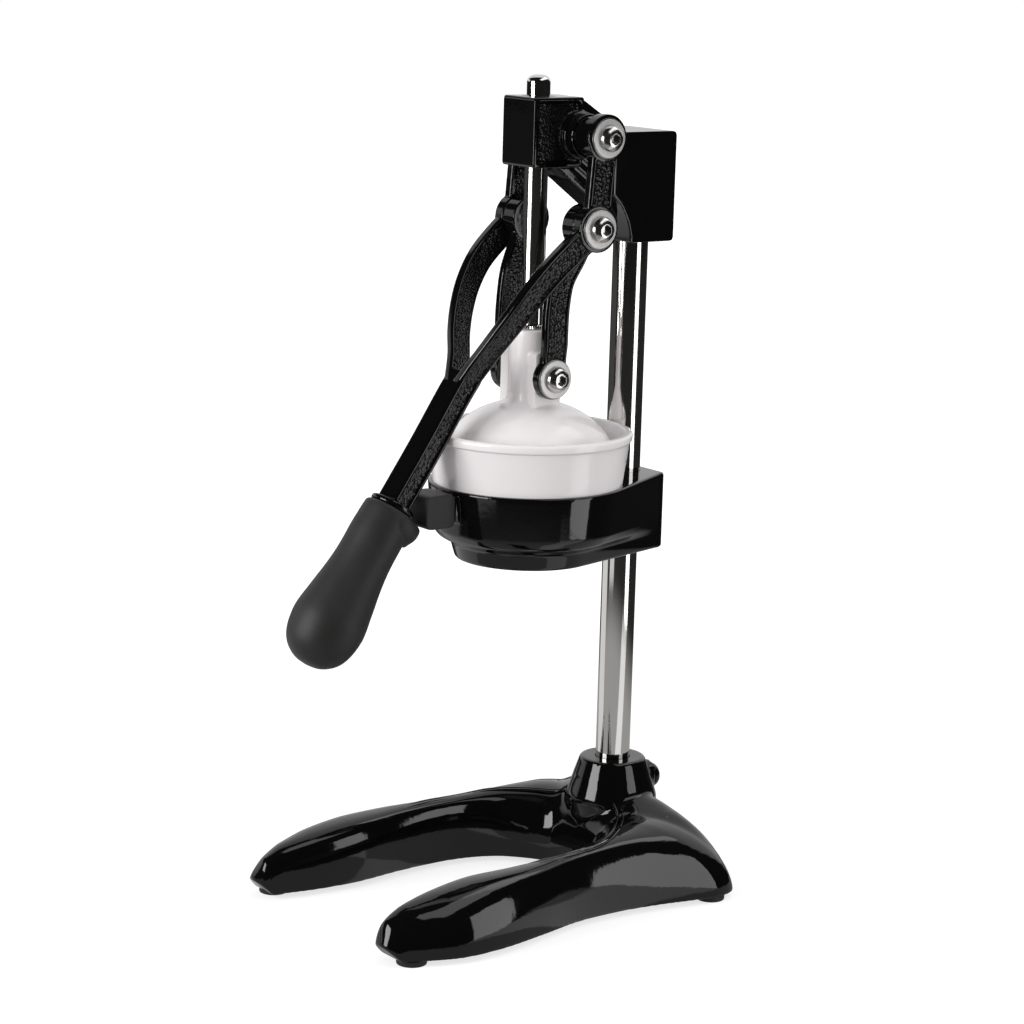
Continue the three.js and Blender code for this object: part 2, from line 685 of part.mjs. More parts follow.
{
  const profile = [];
  const innerRise = bellTop - bellBottom - 2 * bellWall;
  const innerRadius = bellRadius - bellWall;
  for (let i = 0; i <= bellSteps; i += 1) {
    const angle = (1 - i / bellSteps) * (Math.PI / 2);
    profile.push([innerRadius * Math.cos(angle), bellBottom + innerRise * Math.sin(angle)]);
  }
  const last = Math.acos((neckRadius + neckFillet) / bellRadius);
  for (let i = 0; i <= bellSteps; i += 1) {
    const angle = (i / bellSteps) * last;
    profile.push([bellRadius * Math.cos(angle), bellBottom
      + (bellTop - bellBottom) * Math.sin(angle)]);
  }
  const neckFoot = bellBottom + (bellTop - bellBottom) * Math.sin(last);
  profile.push(
    [neckRadius + neckFillet * 0.3, neckFoot + neckFillet * 0.7],
    [neckRadius, neckFoot + 2 * neckFillet], [neckRadius, neckTop - footEdge],
    [neckRadius - footEdge, neckTop], [0, neckTop], [0, bellTop - 2 * bellWall]);
  const lugs = slab(box(-lugHalf, lugHalf, bellTop - bellWall, lugTop, 2 * castEdge),
    -lugReach, lugReach, castEdge);
  const bore = insertRadius + seatGap / 2;
  const bell = cut(join([turned(profile, roundSteps + 6), lugs]), [
    barX(bore, insertStart - seatGap, lugReach + overrun, 0, ramPivotZ),
    barX(bore, -lugReach - overrun, -insertStart + seatGap, 0, ramPivotZ),
    barZ(ramRadius + seatGap / 2, ramEnd, neckTop + overrun)]);
  piece('presser_bell', skin(bell), 'whitePlastic', ram).position.z = -ramPivotZ;
}

// Ram: one polished rod with a domed top, its foot held in the neck under a lock ring.
const ramTop = blockTop + 11.1;
const ringHeight = 2.4;
const ringRadius = 8.2;
piece('ram_rod', closed(turned([
  [0, ramEnd], [ramRadius - footEdge / 2, ramEnd], [ramRadius, ramEnd + footEdge / 2],
  [ramRadius, ramTop - ramRadius * 0.6], [ramRadius * 0.92, ramTop - ramRadius * 0.36],
  [ramRadius * 0.7, ramTop - ramRadius * 0.12], [ramRadius * 0.4, ramTop], [0, ramTop]])),
'polishedSteel', ram).position.z = -ramPivotZ;
piece('ram_lock_ring', closed(turned([
  [ramRadius + seatGap / 2, neckTop], [ringRadius, neckTop],
  [ringRadius, neckTop + ringHeight - footEdge / 2],
  [ringRadius - footEdge / 2, neckTop + ringHeight],
  [ramRadius + seatGap / 2, neckTop + ringHeight],
  [ramRadius + seatGap / 2, neckTop]])), 'stainless', ram).position.z = -ramPivotZ;

// Washers, drawn along Z with their lower face at zero.
const washerRadius = 10;
const shimRadius = 10.6;

function washer(radius) {
  return closed(turned([
    [boltBore, 0], [radius, 0], [radius, washerThickness], [boltBore, washerThickness],
    [boltBore, 0]], smallSteps));
}

// Puts a piece drawn along Z on a pivot, pointing out to one side.
function onPivot(mesh, side, reach, y = 0, z = 0) {
  mesh.rotation.y = side * (Math.PI / 2);
  mesh.position.set(side * reach, y, z);
}

function pivotSet(stem, side, seat, boltFoot, y, z, parent) {
  const label = side > 0 ? 'right' : 'left';
  onPivot(piece(`${stem}_shim_${label}`, washer(shimRadius), 'darkSteel', parent),
    side, seat, y, z);
  onPivot(piece(`${stem}_washer_${label}`, washer(washerRadius), 'stainless', parent),
    side, seat + washerThickness, y, z);
  const reach = seat + 2 * washerThickness;
  onPivot(piece(`${stem}_bolt_${label}`, buttonScrew(boltRadius, reach - boltFoot), 'stainless',
    parent), side, reach, y, z);
}

// Handle fork: two crank arms on the head boss run on as prongs that meet in one stem.
const crankEyeRadius = 12.4;
const prongThick = 6;
const prongWide = 15.5;
const prongRim = 2.2;
const prongPanel = 1.1;
const prongChamfer = 1;
const stemThick = 16;
const stemWide = 12.6;
const prongDrop = linkPivotZ - ramPivotZ + 61.54;
const prongReach = 100.2;
const stemEndY = linkPivotY - prongReach - pivotSetBack;
const stemEndZ = linkPivotZ - prongDrop - pivotHeight;
const crankY = linkPivotY - pivotSetBack;
const crankZ = linkPivotZ - pivotHeight;
const crankX = (crankInner + crankOuter) / 2;
// Each row is a point on the right prong as shares of the crank's place in X, of the reach and of
// the drop below the link pivot.
const prongShares = [[1, 0, 0], [0.987, 0.135, 0.075], [0.94, 0.257, 0.153],
  [0.838, 0.353, 0.238], [0.7, 0.425, 0.322], [0.515, 0.486, 0.407], [0.302, 0.536, 0.491],
  [0.117, 0.599, 0.583]];
const stemShares = [[0, 0.56, 0.548], [0, 0.628, 0.614], [0, 0.8, 0.797], [0, 1, 1]];
const tangRadius = 6;
const tangLength = 68;
const gripLean = THREE.MathUtils.degToRad(33.7);

{
  const place = (shares) => route(shares.map(([x, reach, drop]) => [
    x * crankX, crankY - reach * prongReach, crankZ - drop * prongDrop]));
  const armSection = (taper) => channel(prongThick / 2,
    THREE.MathUtils.lerp(prongWide, stemWide, taper) / 2, prongRim, prongPanel, prongChamfer, false);
  const crank = sweep(route([[crankX, 0, 0], [crankX, crankY / 2, crankZ / 2],
    [crankX, crankY, crankZ]]), 2, () => armSection(0));
  const prong = sweep(place(prongShares), 16, armSection);
  const eyes = [
    barX(crankEyeRadius, crankInner, crankOuter, 0, 0, roundSteps),
    barX(crankEyeRadius, crankInner, crankOuter, crankY, crankZ, roundSteps)];
  const right = join([crank, prong, ...eyes]);
  const left = solid(mirrored(skin(right)));
  const stem = sweep(place(stemShares), 5, () => channel(
    stemThick / 2, stemWide / 2, prongRim, prongPanel, prongChamfer, true));
  const tang = barZ(tangRadius, -stemWide / 2, tangLength, 0, 0, smallSteps)
    .rotateX(Math.PI - gripLean).translate(0, stemEndY, stemEndZ);
  const bores = [-1, 1].flatMap((side) => [[0, 0], [crankY, crankZ]].map(([y, z]) => barX(
    boltBore, Math.min(side * crankInner, side * crankOuter) - overrun,
    Math.max(side * crankInner, side * crankOuter) + overrun, y, z)));
  const fork = right.add(left).add(join([stem, tang]));
  piece('handle_fork', skin(cut(fork, bores)), 'blackPaint', handle);
}

for (const side of [-1, 1]) {
  const label = side > 0 ? 'right' : 'left';
  pivotSet('crank', side, crankOuter, bossReach - bossRadius + overrun, pivotSetBack,
    pivotHeight, stand);
  pivotSet('link', side, crankOuter, crankInner, crankY, crankZ, handle);
  pivotSet('presser', side, eyeOuter, insertStart + overrun, 0, 0, ram);
  onPivot(piece(`crank_spacer_${label}`, closed(turned([
    [boltBore, 0], [bossRadius - footEdge, 0], [bossRadius - footEdge, hubOuter - bossReach],
    [boltBore, hubOuter - bossReach], [boltBore, 0]], roundSteps)), 'blackPaint', stand),
  side, bossReach, pivotSetBack, pivotHeight);
  onPivot(piece(`neck_insert_${label}`, closed(turned([
    [boltBore, 0], [insertRadius, 0], [insertRadius, lugReach - insertStart],
    [boltBore, lugReach - insertStart], [boltBore, 0]], smallSteps)), 'darkSteel', ram),
  side, insertStart);
}

// Grip: a thin ferrule, then a moulded sleeve over the tang, both drawn along the stem.
const ferruleRadius = 12;
const ferruleThick = 3;
const gripLength = 92;
const gripBulge = 20;
// Rows are the place along the grip and the radius there, as shares of its length and its bulge.
const gripShares = [[0, 0.62], [0.012, 0.69], [0.03, 0.705], [0.1, 0.725], [0.18, 0.743],
  [0.27, 0.742], [0.34, 0.755], [0.41, 0.785], [0.48, 0.83], [0.545, 0.88], [0.615, 0.93],
  [0.68, 0.98], [0.735, 1], [0.8, 0.973], [0.845, 0.93], [0.89, 0.855], [0.93, 0.735],
  [0.965, 0.55], [0.988, 0.34], [1, 0]];
// The lip behind the fingers is a disc set off to the back, in shares of the same two sizes.
const lipShares = [[0.015, 0.67], [0.032, 0.76], [0.055, 0.775], [0.08, 0.765], [0.103, 0.73],
  [0.127, 0.665], [0.152, 0.615]];
const lipSetOff = 4.8;

{
  const grip = new THREE.Group();
  grip.position.set(0, stemEndY, stemEndZ);
  grip.rotation.x = Math.PI - gripLean;
  handle.add(grip);
  const bore = tangRadius + seatGap;
  const ferruleStart = seatGap;
  const gripStart = ferruleStart + ferruleThick + seatGap;
  const boreEnd = tangLength + 2 * seatGap;
  const turnedGrip = (shares) => turned([
    [0, gripStart + shares[0][0] * gripLength],
    ...shares.map(([along, width]) => [width * gripBulge, gripStart + along * gripLength]),
    [0, gripStart + shares[shares.length - 1][0] * gripLength]]);
  piece('grip_ferrule', closed(turned([
    [bore, ferruleStart], [ferruleRadius - footEdge, ferruleStart],
    [ferruleRadius, ferruleStart + footEdge],
    [ferruleRadius, ferruleStart + ferruleThick - footEdge],
    [ferruleRadius - footEdge, ferruleStart + ferruleThick],
    [bore, ferruleStart + ferruleThick], [bore, ferruleStart]])), 'blackPaint', grip);
  piece('grip', skin(cut(
    join([turnedGrip(gripShares), turnedGrip(lipShares).translate(0, -lipSetOff, 0)]),
    [barZ(bore, gripStart - overrun, boreEnd)])), 'softRubber', grip);
}

// Curved links: each bows forward to clear the head boss and steps in from the hub to the lug.
const hubRadius = 12;
const eyeRadius = 10.9;
const linkThick = 5;
const linkWide = 15.6;
const linkRim = 2;
const linkPanel = 0.9;
const linkBow = linkLength * 0.078;
// Rows are the share of the way down from the hub, the share of the bow and the share of the step
// from the hub's middle in to the eye's middle.
const linkShares = [[0, 0, 0], [0.18, 0.39, 0.31], [0.36, 1, 0.61], [0.53, 0.985, 0.69],
  [0.71, 0.685, 0.7], [0.79, 0.42, 0.8], [0.87, 0.18, 1], [1, 0, 1]];

function linkSolid() {
  const across = new THREE.Vector2(Math.cos(linkLean), -Math.sin(linkLean));
  const hubX = (hubInner + hubOuter) / 2;
  const eyeX = (eyeInner + eyeOuter) / 2;
  const path = route(linkShares.map(([down, bow, step]) => [
    hubX + (eyeX - hubX) * step,
    linkPivotY * (1 - down) - across.x * bow * linkBow,
    (linkPivotZ - ramPivotZ) * (1 - down) - across.y * bow * linkBow]));
  const body = sweep(path, 16, () => channel(
    linkThick / 2, linkWide / 2, linkRim, linkPanel, prongChamfer, false));
  const hubZ = linkPivotZ - ramPivotZ;
  return skin(cut(join([
    body, barX(hubRadius, hubInner, hubOuter, linkPivotY, hubZ, roundSteps),
    barX(eyeRadius, eyeInner, eyeOuter, 0, 0, roundSteps)]), [
    barX(boltBore, hubInner - overrun, hubOuter + overrun, linkPivotY, hubZ),
    barX(boltBore, eyeInner - overrun, eyeOuter + overrun)]));
}

{
  const right = linkSolid();
  piece('curved_link_right', right, 'blackPaint', ram);
  piece('curved_link_left', mirrored(right), 'blackPaint', ram);
}

// Stands the press on z = 0 with the middle of its outline on the Z axis.
const outline = new THREE.Box3().setFromObject(press, true);
const middle = outline.getCenter(new THREE.Vector3());
press.position.set(-middle.x, -middle.y, -outline.min.z);

export default press;
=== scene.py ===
# A lever citrus press: a forked handle and two curved links drive a white bell down into a
# strainer cup. Sizes are in millimetres, and places are measured from the ram's axis, which the
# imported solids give.
import math

import bmesh
import bpy
import numpy as np
from mathutils import Matrix, Vector
from mathutils.kdtree import KDTree


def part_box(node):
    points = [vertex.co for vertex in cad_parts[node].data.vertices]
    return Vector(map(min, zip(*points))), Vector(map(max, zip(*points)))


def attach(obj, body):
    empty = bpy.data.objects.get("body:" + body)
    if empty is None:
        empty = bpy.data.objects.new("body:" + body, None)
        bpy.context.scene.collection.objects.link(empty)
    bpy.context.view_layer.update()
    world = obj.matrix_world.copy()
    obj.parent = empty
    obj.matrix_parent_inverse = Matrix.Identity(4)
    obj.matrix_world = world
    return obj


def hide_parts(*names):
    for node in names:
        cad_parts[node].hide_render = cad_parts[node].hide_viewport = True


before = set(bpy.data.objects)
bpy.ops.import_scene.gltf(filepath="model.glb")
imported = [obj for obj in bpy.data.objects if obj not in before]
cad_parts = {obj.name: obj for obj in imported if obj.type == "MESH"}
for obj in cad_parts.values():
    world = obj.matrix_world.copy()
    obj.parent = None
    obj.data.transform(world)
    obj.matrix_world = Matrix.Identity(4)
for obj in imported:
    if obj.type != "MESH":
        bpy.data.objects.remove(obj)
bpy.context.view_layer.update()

# Base casting. One iron casting in the form of a horseshoe with two long legs, two rear lobes and
# a tapered boss for the column, hollow underneath. It is dipped in thick gloss black paint, which
# rounds every edge and leaves the broad surfaces slightly wavy.
MM = 0.001
ROD_LOW, ROD_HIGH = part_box("ram_rod")
AXIS = np.array([(ROD_LOW.x + ROD_HIGH.x) / 2, (ROD_LOW.y + ROD_HIGH.y) / 2, 0.0])

COLUMN_BACK = 65.5
BASE_HALF_WIDTH = 83.05
BASE_FRONT = 133.88
BASE_REAR = 97
BASE_CROWN = 50
BASE_SOLE = 3
BASE_WALL = 5
HOLLOW_WIDTH = 30
HOLLOW_START = 0.27
TOE_UNDERCUT = 9.5
BOSS_TOP = 66
BOSS_FOOT = 25
BOSS_FLARE = 43
BOSS_RADIUS = 18.4
BOSS_FOOT_RADIUS = 26
BOSS_FILLET = (17, 42)
BOSS_FILLET_HEIGHTS = (30, 56)
SLEEVE_RADIUS = 14.5
SLEEVE_TOP = 45
COLUMN_RADIUS = 9.5
COLUMN_FOOT = 9
CLAMP_HEIGHT = 50.5
CLAMP_PAD_RADIUS = 9
CLAMP_PAD_BACK = 92
CLAMP_BORE = 4.4
BEAD_RADIUS = 0.75
BEAD_GAP = 3
# Softened skins keep only the edges that turn by more than this, in degrees.
SOFT_EDGE = 50
# Rows run from the toe to the middle of the bend: inner edge and outer edge as shares of the half
# width and of the front or rear reach, then crown height, its place across and both fullnesses.
BASE_ROWS = [
    (0.76, -1, 0.79, -1, 0.1, 0.5, 2, 2),
    (0.69, -0.985, 0.835, -0.965, 0.28, 0.47, 2.1, 2),
    (0.635, -0.965, 0.87, -0.91, 0.44, 0.39, 2.4, 2),
    (0.61, -0.885, 0.925, -0.83, 0.565, 0.35, 2.8, 1.9),
    (0.565, -0.735, 0.99, -0.705, 0.655, 0.395, 3.1, 2),
    (0.55, -0.545, 0.99, -0.52, 0.72, 0.445, 3.4, 2.1),
    (0.59, -0.32, 0.925, -0.295, 0.735, 0.48, 3.5, 2.2),
    (0.6, -0.1, 0.85, -0.075, 0.745, 0.46, 3.5, 2.1),
    (0.565, 0.045, 0.84, 0.185, 0.765, 0.425, 3.4, 1.95),
    (0.49, 0.19, 0.875, 0.445, 0.795, 0.395, 3, 1.8),
    (0.39, 0.28, 0.93, 0.67, 0.815, 0.37, 2.8, 1.8),
    (0.3, 0.34, 0.96, 0.83, 0.83, 0.365, 2.6, 1.75),
    (0.22, 0.375, 0.905, 0.96, 0.83, 0.365, 2.5, 1.75),
    (0.155, 0.39, 0.73, 0.995, 0.9, 0.395, 2.4, 2.05),
    (0.09, 0.397, 0.43, 0.965, 0.99, 0.455, 2.3, 2.2),
    (0, 0.4, 0, 0.95, 1, 0.48, 2.2, 2.2),
]


def through(points, shares):
    """Places on a smooth curve through the points, at shares of the way along it."""
    points = np.array(points, float)
    padded = np.vstack([2 * points[0] - points[1], points, 2 * points[-1] - points[-2]])
    place = np.clip(np.asarray(shares, float), 0, 1) * (len(points) - 1)
    start = np.minimum(place.astype(int), len(points) - 2)
    part = (place - start)[:, None]
    before, here, ahead, after = (padded[start + step] for step in range(4))

    def gap(one, other):
        return np.maximum(((one - other) ** 2).sum(1) ** 0.25, 1e-4)[:, None]

    first, middle, last = gap(before, here), gap(here, ahead), gap(ahead, after)
    leave = ((here - before) / first - (ahead - before) / (first + middle)) * middle + ahead - here
    arrive = ahead - here + ((after - ahead) / last - (after - here) / (middle + last)) * middle
    bend = 3 * (ahead - here) - 2 * leave - arrive
    twist = 2 * (here - ahead) + leave + arrive
    return here + leave * part + bend * part**2 + twist * part**3


def bands(count, size):
    """The faces that join a row of rings with as many points each."""
    return [(ring * size + i, ring * size + (i + 1) % size, (ring + 1) * size + (i + 1) % size,
             (ring + 1) * size + i) for ring in range(count - 1) for i in range(size)]


def loft(rings):
    """Skins a row of rings with as many points each, and closes both ends."""
    rings = np.array(rings, float)
    count, size = rings.shape[:2]
    ends = [tuple(reversed(range(size))), tuple((count - 1) * size + i for i in range(size))]
    return rings.reshape(-1, 3), bands(count, size) + ends


def turned(profile, steps=96):
    """Turns a profile of (radius, height) pairs about Z."""
    angles = np.linspace(0, 2 * math.pi, steps, endpoint=False)
    rings = [[(r * math.cos(a), r * math.sin(a), z) for a in angles] for r, z in profile]
    return np.array(rings).reshape(-1, 3), bands(len(profile), steps)


def moved(shape, x=0, y=0, z=0, facing="Z"):
    """Turns a shape drawn along Z to face along X, -X or Y, then moves it."""
    turns = {
        "Z": np.eye(3),
        "X": np.array([[0, 0, 1], [0, 1, 0], [-1, 0, 0]]),
        "-X": np.array([[0, 0, -1], [0, 1, 0], [1, 0, 0]]),
        "Y": np.array([[1, 0, 0], [0, 0, 1], [0, -1, 0]]),
    }
    places, faces = shape
    return np.array(places) @ turns[facing].T + np.array([x, y, z]), faces


def across_x(shape):
    """The same shape on the other side of the press."""
    return shape[0] * np.array([-1, 1, 1]), shape[1]


def bar(radius, low, high, steps=64):
    return turned([(0, low), (radius, low), (radius, high), (0, high)], steps)


def slab(outline, low, high):
    """Stretches an outline of (y, z) pairs along X."""
    return loft([[(x, y, z) for y, z in outline] for x in (low, high)])


def raw(shape, name="piece", origin=(0, 0, 0)):
    """A mesh object from a shape in millimetres round the ram's axis."""
    mesh = bpy.data.meshes.new(name)
    places = (np.array(shape[0]) - np.array(origin)) * MM
    mesh.from_pydata(places.tolist(), [], shape[1])
    work = bmesh.new()
    work.from_mesh(mesh)
    bmesh.ops.remove_doubles(work, verts=work.verts, dist=1e-7)
    bmesh.ops.dissolve_degenerate(work, edges=work.edges, dist=1e-7)
    bmesh.ops.recalc_face_normals(work, faces=work.faces)
    work.to_mesh(mesh)
    work.free()
    made = bpy.data.objects.new(name, mesh)
    made.location = Vector(np.array(origin) * MM + AXIS)
    bpy.context.scene.collection.objects.link(made)
    return made


def helpers_of(made):
    """The objects that an object's joins and cuts use, with the ones that those use."""
    direct = [step.object for step in made.modifiers if step.type == "BOOLEAN"]
    return direct + [deeper for helper in direct for deeper in helpers_of(helper)]


def settled(made):
    """Applies an object's modifiers and clears the helpers that they used."""
    helpers = helpers_of(made)
    view = bpy.context.evaluated_depsgraph_get()
    mesh = bpy.data.meshes.new_from_object(made.evaluated_get(view))
    made.modifiers.clear()
    made.data = mesh
    for helper in helpers:
        bpy.data.objects.remove(helper)
    return made


def carve(made, solids=(), cuts=()):
    """Adds solids to an object and takes cuts out of it."""
    for operation, shapes in (("UNION", solids), ("DIFFERENCE", cuts)):
        for shape in shapes:
            step = made.modifiers.new(operation, "BOOLEAN")
            step.operation = operation
            step.solver = "MANIFOLD"
            step.object = shape if isinstance(shape, bpy.types.Object) else raw(shape)
    return made


def cast(name, solids, cuts, grain, rounds):
    """One casting: joined, cut, then softened all over as thick paint does."""
    made = carve(raw(solids[0], name) if isinstance(solids[0], tuple) else solids[0],
                 solids[1:], cuts)
    made.name = name
    grid = made.modifiers.new("grid", "REMESH")
    grid.mode = "VOXEL"
    grid.voxel_size = grain * MM
    soften = made.modifiers.new("soften", "SMOOTH")
    soften.factor = 0.5
    soften.iterations = rounds
    settled(made)
    made.data.shade_smooth()
    return made


def blend(made, test, rounds):
    """Runs the skin together where the test holds for a place."""
    made.vertex_groups.new(name="blend").add(
        [point.index for point in made.data.vertices if test(*(point.co / MM))], 1.0, "REPLACE")
    soften = made.modifiers.new("blend", "SMOOTH")
    soften.factor = 0.5
    soften.iterations = rounds
    soften.vertex_group = "blend"
    settled(made)
    made.vertex_groups.clear()
    made.data.shade_smooth()


def crisp(made, angle=30):
    """Shades a machined or moulded piece smooth, with its edges kept."""
    made.data.shade_smooth()
    made.data.set_sharp_from_angle(angle=math.radians(angle))
    return made


def fit(made, finish, slot, body, *nodes):
    """Gives a piece its finish and seats it on its body in place of its solids."""
    made.data.materials.clear()
    made.data.materials.append(finish)
    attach(made, body)
    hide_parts(*nodes)
    return made


class Socket:
    """A shader socket that works in sums with numbers and other sockets."""

    def __init__(self, shader, link):
        self.shader = shader
        self.link = link

    def math(self, operation, one, other=0.0):
        return self.shader.node("Math", {"operation": operation}, {0: one, 1: other})

    def __add__(self, other):
        return self.math("ADD", self, other)

    def __sub__(self, other):
        return self.math("SUBTRACT", self, other)

    def __rsub__(self, other):
        return self.math("SUBTRACT", other, self)

    def __mul__(self, other):
        return self.math("MULTIPLY", self, other)

    __radd__ = __add__
    __rmul__ = __mul__


class Shader:
    """The node tree of one material or of the world."""

    def __init__(self, owner):
        owner.use_nodes = True
        self.owner = owner
        self.tree = owner.node_tree
        self.tree.nodes.clear()
        self.place = self.node("TexCoord", out=3)

    def node(self, kind, settings=None, values=None, out=0):
        made = self.tree.nodes.new("ShaderNode" + kind)
        for key, value in (settings or {}).items():
            setattr(made, key, value)
        for key, value in (values or {}).items():
            if isinstance(value, Socket):
                self.tree.links.new(value.link, made.inputs[key])
            else:
                made.inputs[key].default_value = value
        return Socket(self, made.outputs[out]) if len(made.outputs) else None

    def mix(self, factor, one, other):
        return self.node("Mix", {"data_type": "RGBA"}, {0: factor, 6: one, 7: other}, 2)

    def noise(self, scale, detail=2.0, roughness=0.5, place=None):
        return self.node("TexNoise", {}, {
            "Vector": place or self.place, "Scale": scale, "Detail": detail, "Roughness": roughness})

    def surface(self, **sockets):
        shell = self.node("BsdfPrincipled", {}, {
            key.replace("_", " "): value for key, value in sockets.items()})
        self.node("OutputMaterial", {}, {"Surface": shell})
        return self.owner


def grey(level, warmth=0.0):
    return (level * (1 + warmth), level, level * (1 - warmth), 1)


def gloss_black():
    """Thick gloss black paint over iron; the sunk panels keep the pebbled skin of the mould."""
    shader = Shader(bpy.data.materials.new("gloss_black_paint"))
    pebbled = shader.node("Attribute", {"attribute_name": "pebbled"}, out=2)
    cells = shader.node("TexVoronoi", {"feature": "F1"}, {
        "Vector": shader.place, "Scale": 620.0, "Randomness": 1.0})
    grains = shader.noise(1300.0, 2.0, 0.6)
    waves = shader.noise(38.0, 1.0, 0.4)
    peel = shader.noise(420.0)
    height = pebbled * (grains * 0.3 - cells * cells * 0.9) + waves * 0.36 + peel * 0.03
    bump = shader.node("Bump", {}, {"Strength": 1.0, "Distance": 0.0006, "Height": height})
    dust = shader.noise(60.0, 4.0, 0.6)
    colour = shader.mix(pebbled * 0.7, grey(0.0025), grey(0.005, 0.02))
    return shader.surface(
        Base_Color=colour, Roughness=0.04 + dust * 0.04 + pebbled * 0.05,
        IOR=1.5, Normal=bump)


GLOSS_BLACK = gloss_black()


def base_loft(inset, sole, start, stations=110, widest=math.inf, quarter=16):
    """The horseshoe from its rows, drawn in by an inset and to a greatest width."""
    rows = np.array(BASE_ROWS, float)

    def edge(x, y):
        reach = np.where(rows[:, y] < 0, BASE_FRONT, BASE_REAR) * rows[:, y]
        return np.stack([rows[:, x] * BASE_HALF_WIDTH, reach], 1)

    shares = np.linspace(start, 1, stations)
    inner, outer = through(edge(0, 1), shares), through(edge(2, 3), shares)
    crown, full = through(rows[:, 4:6], shares), through(rows[:, 6:8], shares)
    angles = np.linspace(0, math.pi, 2 * quarter + 1)
    rings = []
    for i in range(stations):
        across = outer[i] - inner[i]
        width = min(np.linalg.norm(across) - 2 * inset, widest)
        across /= np.linalg.norm(across)
        begin = inner[i] + across * inset
        rise = crown[i, 0] * BASE_CROWN - BASE_SOLE - inset
        ring = []
        for angle in angles:
            power = 2 / (full[i, 0] if angle <= math.pi / 2 else full[i, 1])
            run = math.copysign(abs(math.cos(angle)) ** power, math.cos(angle))
            side = crown[i, 1] if run > 0 else 1 - crown[i, 1]
            place = begin + across * width * (crown[i, 1] - run * side)
            ring.append((*place, BASE_SOLE + rise * max(math.sin(angle), 0) ** power))
        ring[0] = (*ring[0][:2], sole)
        ring[-1] = (*ring[-1][:2], sole)
        rings.append(ring)
    right = np.array(rings)
    left = right[-2::-1] * np.array([-1, 1, 1])
    return loft(np.concatenate([right, left]))


base_boss = turned([
    (0, BOSS_FOOT), (BOSS_RADIUS, BOSS_FOOT), (BOSS_FOOT_RADIUS, BOSS_FLARE),
    (BOSS_RADIUS, BOSS_TOP - 1), (BOSS_RADIUS - 0.8, BOSS_TOP), (0, BOSS_TOP)])
toe_end = -BASE_FRONT - 2
toe_cut = slab([(toe_end + TOE_UNDERCUT + 4, BASE_SOLE - 2), (toe_end, BASE_SOLE - 2),
                (toe_end, BASE_SOLE + TOE_UNDERCUT + 2)], -90, 90)
clamp_pad = moved(bar(CLAMP_PAD_RADIUS, COLUMN_BACK, CLAMP_PAD_BACK), z=CLAMP_HEIGHT, facing="Y")
# A fine double bead marks the inner edge from the boss along each leg.
BEAD_ROUTE = [(21, 53.4, 45.2), (25.2, 52.6, 42.6), (29.5, 50.4, 40.3), (40.8, 39.9, 39.9),
              (48.7, 30.6, 39.6), (55.2, 20.4, 38.8), (58.2, 11.9, 37.7), (59.4, 4.2, 37.1),
              (60.2, -6.4, 36.9), (61, -17.1, 36.8), (60.6, -26.8, 36.6), (60, -40, 35.4)]


def bead(route, offset, radius, steps=120):
    """A thin round bead along a line that lies flat, set off to one side of it."""
    shares = np.linspace(0, 1, steps)
    places = through(route, shares)
    ahead = through(route, np.minimum(shares + 0.002, 1))
    ahead -= through(route, np.maximum(shares - 0.002, 0))
    ahead /= np.linalg.norm(ahead, axis=1)[:, None]
    aside = np.cross(ahead, [0, 0, 1])
    aside /= np.linalg.norm(aside, axis=1)[:, None]
    over = np.cross(aside, ahead)
    return loft([[place + a * (offset + radius * math.cos(turn)) + o * radius * math.sin(turn)
                  for turn in np.linspace(0, 2 * math.pi, 10, endpoint=False)]
                 for place, a, o in zip(places, aside, over)])


def at_boss_foot(x, y, z):
    near, far = BOSS_FILLET
    low, high = BOSS_FILLET_HEIGHTS
    return near < math.hypot(x, y - COLUMN_BACK) < far and low < z < high


base = cast(
    "base_iron",
    [carve(raw(base_loft(0, BASE_SOLE, 0)), (), [toe_cut]),
     moved(base_boss, y=COLUMN_BACK), clamp_pad],
    [base_loft(BASE_WALL, BASE_SOLE - 2, HOLLOW_START, 60, HOLLOW_WIDTH)], 0.9, 5)
blend(base, at_boss_foot, 60)
beads = [bead(BEAD_ROUTE, offset, BEAD_RADIUS) for offset in (0, BEAD_GAP)]
beads += [across_x(shape) for shape in beads]
carve(base, [moved(bar(SLEEVE_RADIUS, BASE_SOLE, SLEEVE_TOP), y=COLUMN_BACK), *beads], [
    moved(bar(COLUMN_RADIUS + 0.4, COLUMN_FOOT, BOSS_TOP + 4), y=COLUMN_BACK),
    moved(bar(CLAMP_BORE, COLUMN_BACK, CLAMP_PAD_BACK + 7), z=CLAMP_HEIGHT, facing="Y")])
crisp(settled(base), SOFT_EDGE)
fit(base, GLOSS_BLACK, "black_paint", "stand", "base_casting")

# Feet. Four short rubber buttons pressed to the underside, so that the iron stands clear of the
# table.
FOOT_RADIUS = 8
FOOT_PLACES = {
    "foot_front_left": (-66, -115.5), "foot_front_right": (66, -115.5),
    "foot_rear_left": (-71, 80), "foot_rear_right": (71, 80),
}


